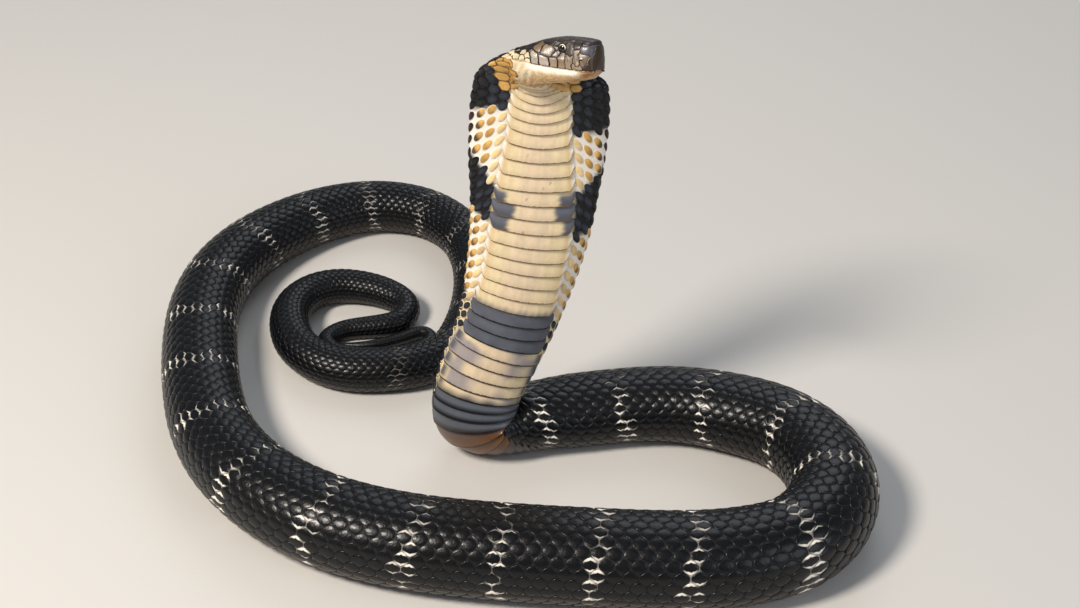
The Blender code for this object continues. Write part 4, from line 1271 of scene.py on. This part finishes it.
def scuteColour(s, b, t, start):
    # b runs -1 to 1 across the belly, 1 on the animal's right; t runs down the scute that begins at start
    number = np.floor(start / 2.3)
    out = abs(b)
    colour = np.broadcast_to(tint["creamPink"], (*s.shape, 3))
    colour = blend(colour, tint["cream"], ramp(out, 0.25, 0.6))
    streaks = 0.90 + 0.14 * softNoise(14 * b, number * 0.9, 3)
    # painted shade: each scute is darker towards its free edge and at its front, tucked under the scute
    # before
    paintedScuteShade = 1.04 - 0.20 * ramp(t, 0.55, 1.0) - 0.10 * (1 - ramp(t, 0, 0.25))
    colour = colour * (streaks * paintedScuteShade)[..., None]
    spots = ramp(softNoise(11 * b, 1.7 * number + 3 * t, 8), 0.93, 0.97) * plateau(s, 100, 110, 180, 200)
    patch = slatePatches(b, t, start, number)
    # a slate band, then cream again clouded with lavender grey, each end a dark rounded patch
    wobble = 3.0 * (softNoise(5 * b, 3.5, 5) - 0.5)
    pastBand = ramp(start + 0.1, 273.5, 274)
    slate = ramp(s + 0.8 * wobble + 1.5 * out + 0.5 * np.sin(40 * b), 239.5, 246.5) * (1 - pastBand)
    # painted highlight: pale streaks over the slate band
    streakHighlight = softNoise(5 * b, 2.2 * t + number, 2) * ramp(t, 0.1, 0.4)
    mottled = pastBand * (1 - ramp(s, 315, 322))
    cloud = ramp(softNoise(3.5 * b + 3, 0.9 * number + 0.9 * t, 1), 0.38, 0.72) * ramp(out, 0.10, 0.40)
    end = plateau(out, 0.66, 0.80, 0.885, 0.93) * plateau(t, 0.12, 0.28, 0.78, 0.92)
    end = end * (0.7 + 0.3 * softNoise(number * 1.7, np.sign(b) * 2.3, 6))
    # the foot of the neck is dark with a painted sheen on each scute, then painted brown where light thrown
    # up from the ground falls on it, and the rest lies on the floor
    low = ramp(s + 1.4 * wobble * (1 - 0.5 * out), 315, 321)
    # painted sheen: a pale band across the middle of each dark scute at the foot of the neck
    sheen = low * (1 - ramp(s, 338, 348)) * plateau(t, 0.05, 0.3, 0.55, 0.9)
    band = bandLight(s, np.sign(b) * scuteEdge * np.ones_like(s), half=6)
    onFloor = blend(np.broadcast_to(tint["under"], colour.shape), tint["brownEdge"], 0.5 * band)
    for tone, share in (
        (tint["stain"], 0.6 * spots),
        (tint["ochre"], 0.36 * ramp(out, 0.72, 0.9) * plateau(s, 100, 112, 225, 250)),
        (tint["white"], 0.9 * ramp(out, 0.89, 0.97) * (1 - ramp(s, 244, 256))),
        (tint["slate"] * 0.8, 0.95 * patch),
        # painted highlight: pale slate over the middle of each slate patch
        (tint["slateHighlight"], 0.35 * patch * plateau(t, 0.05, 0.3, 0.4, 0.8)),
        (tint["slate"] * 0.85, 0.95 * slate),
        # painted highlight streaks on the slate band
        (tint["slateHighlight"], 0.28 * slate * streakHighlight),
        (tint["lavender"], 0.8 * mottled * cloud),
        (tint["slate"] * 0.75, mottled * end),
        (tint["slateDark"], low),
        # painted sheen on the dark scutes
        (tint["slateHighlight"] * np.array((1, 0.96, 0.86)), 0.55 * sheen),
        # painted reflected light: a brown glow from the ground on the scutes at the foot of the neck
        (tint["groundGlowBrown"] * 0.62, 0.85 * plateau(s, 337, 347, 353, 370)),
        (onFloor, ramp(s, 358, 380)),
    ):
        colour = blend(colour, tone, share)
    return colour


def buildScutes():
    starts = scuteStarts()
    length = np.diff(starts)[:, None, None]
    first = starts[:-1]
    start = first[:, None, None]
    b = np.linspace(-scuteShape["over"], scuteShape["over"], scuteShape["columns"] + 1)
    # the last row is the wall under the free edge
    t, across = np.meshgrid([*scuteShape["rows"], 1.0], b, indexing="ij")
    wall = np.zeros_like(t)
    wall[-1] = 1
    out = abs(across)
    reach = t * scuteShape["cover"] - t * 0.62 * ramp(out, 0.82, 1.02) ** 2 - 0.10 * out ** 2
    # the first scutes sag into a curve and are narrow; those of the neck's foot are the widest
    s = start + length * reach - scuteShape["sag"] * (1 - ramp(start, 78, 135)) * out ** 2
    wide = 0.55 + 0.45 * ramp(start, 62, 94) + 0.30 * plateau(start, 262, 280, 332, 350)
    bent = across * wide
    around = np.where(bent >= 0, 1, -1) - (1 - scuteEdge) * bent
    place, normal = lookUp(np.minimum(s, bodyLength), around)
    lift = np.where(s < 386, scuteShape["lift"], scuteShape["floorLift"]) * (1 - 0.5 * ramp(out, 0.85, 1.0))
    small = np.clip(readTable(bodySections, first)[0] / 25, 0.1, 1)[:, None, None]
    height = lift * t ** 1.3 - scuteShape["sink"] * (1 - t) - (0.35 + 0.5 * lift) * ramp(out, 0.93, 1.02)
    place = place + normal * ((height - scuteShape["thick"] * wall) * small)[..., None]
    place[..., 2] = np.maximum(place[..., 2], 0)
    acrossAll, along, startAt = np.broadcast_arrays(across[None], t[None], start)
    colour = scuteColour(startAt + length * along, acrossAll, along, startAt)
    lineColour = np.repeat(tint["scuteLine"][None], len(first), axis=0)
    onDark = (first > 312) | ((first > 243) & (first < 274))
    for name, here in (("scuteLineGrey", first > 232), ("black", onDark)):
        lineColour = np.where(here[:, None], tint[name], lineColour)
    columns = len(b)
    corners = (0, 1, columns + 1, columns)
    faces = [
        [row * columns + column + corner for corner in corners]
        for row in range(len(t) - 1) for column in range(columns - 1)
    ]
    flatten = lambda v: v.reshape(len(first), -1, *v.shape[3:])
    places = flatten(place)
    alongEdge, downEdge = places[:, 1] - places[:, 0], places[:, columns] - places[:, 0]
    if np.sum(np.cross(alongEdge, downEdge) * flatten(normal)[:, 0]) < 0:
        faces = [face[::-1] for face in faces]
    each = np.ones((len(first), t.size))
    attributes = {
        "centreColour": flatten(colour),
        "edgeColour": lineColour[:, None] * each[..., None],
        "rim": np.where(wall > 0, 1.0, t).ravel() * 0.999 * each,
        "rimWidth": np.where((first > 243) & (first < 360), 0.085, 0.05)[:, None] * each,
    }
    patches = flatten(np.stack(unwrapPlace(s, around), axis=-1))
    # smooth horn, rubbed by crawling, satin
    material = keratin(
        "bellyScuteHorn", 0.38, wrinkle=0.16, wrinkleSize=4, tone=0.06, coat=0.1, edgeSoft=0.02)
    for name, low, high in scutePieces:
        chosen = (first >= low) & (first < high)
        layers = {key: values[chosen] for key, values in attributes.items()}
        piece = joinCopies(name, places[chosen], faces, layers, patches[chosen])
        finishPiece(piece, material)


buildScutes()


# light, floor and camera
stageShape = {
    "floor": "#D8D5CF", "floorSize": 14, "sky": "#DDE3EA", "skyStrength": 0.27,
    # the camera's focal length is in pixels of a 1080 pixel wide image, its distance in metres
    "focalPixels": 1966, "imageWidth": 1080, "sensor": 36,
    "elevation": 36, "aim": (0.0268, 0.1092, 0), "distance": 1.536,
    # light: place, size in metres, watts, colour
    "lights": {
        "key": ((-1.1, -0.9, 1.7), 0.55, 46, "#FFF6EC"),
        "fill": ((1.5, -1.2, 1.0), 1.4, 9, "#EEF3FF"),
        "back": ((0.4, 1.6, 1.6), 1.6, 11, "#F2F6FF"),
    },
}


def aimAt(item, place, target):
    item.location = place
    item.rotation_euler = (Vector(target) - Vector(place)).to_track_quat("-Z", "Y").to_euler()
    bpy.context.collection.objects.link(item)


def buildStage():
    deselect()
    bpy.ops.mesh.primitive_grid_add(x_subdivisions=8, y_subdivisions=8, size=stageShape["floorSize"])
    floor = bpy.context.object
    floor.name = "floor"
    material, tree, shader = newMaterial("paleFloor", 0.75)
    shader.inputs["Base Color"].default_value = (*linear(stageShape["floor"]), 1)
    floor.data.materials.append(material)
    world = bpy.data.worlds.new("studio")
    world.use_nodes = True
    background = world.node_tree.nodes["Background"]
    background.inputs["Color"].default_value = (*linear(stageShape["sky"]), 1)
    background.inputs["Strength"].default_value = stageShape["skyStrength"]
    bpy.context.scene.world = world
    for name, (place, size, power, colour) in stageShape["lights"].items():
        data = bpy.data.lights.new(name, "AREA")
        data.shape = "DISK"
        data.size = size
        data.energy = power
        data.color = linear(colour)
        aimAt(bpy.data.objects.new(name, data), place, (0, -0.05, 0.1))
    cameraData = bpy.data.cameras.new("camera")
    cameraData.sensor_width = stageShape["sensor"]
    cameraData.lens = stageShape["focalPixels"] / stageShape["imageWidth"] * stageShape["sensor"]
    camera = bpy.data.objects.new("camera", cameraData)
    elevation = math.radians(stageShape["elevation"])
    away = Vector((0, -math.cos(elevation), math.sin(elevation))) * stageShape["distance"]
    aimAt(camera, Vector(stageShape["aim"]) + away, stageShape["aim"])
    bpy.context.scene.camera = camera
    bpy.context.scene.view_settings.view_transform = "Standard"
    print("floor, lights and camera set")


buildStage()
bpy.context.view_layer.update()
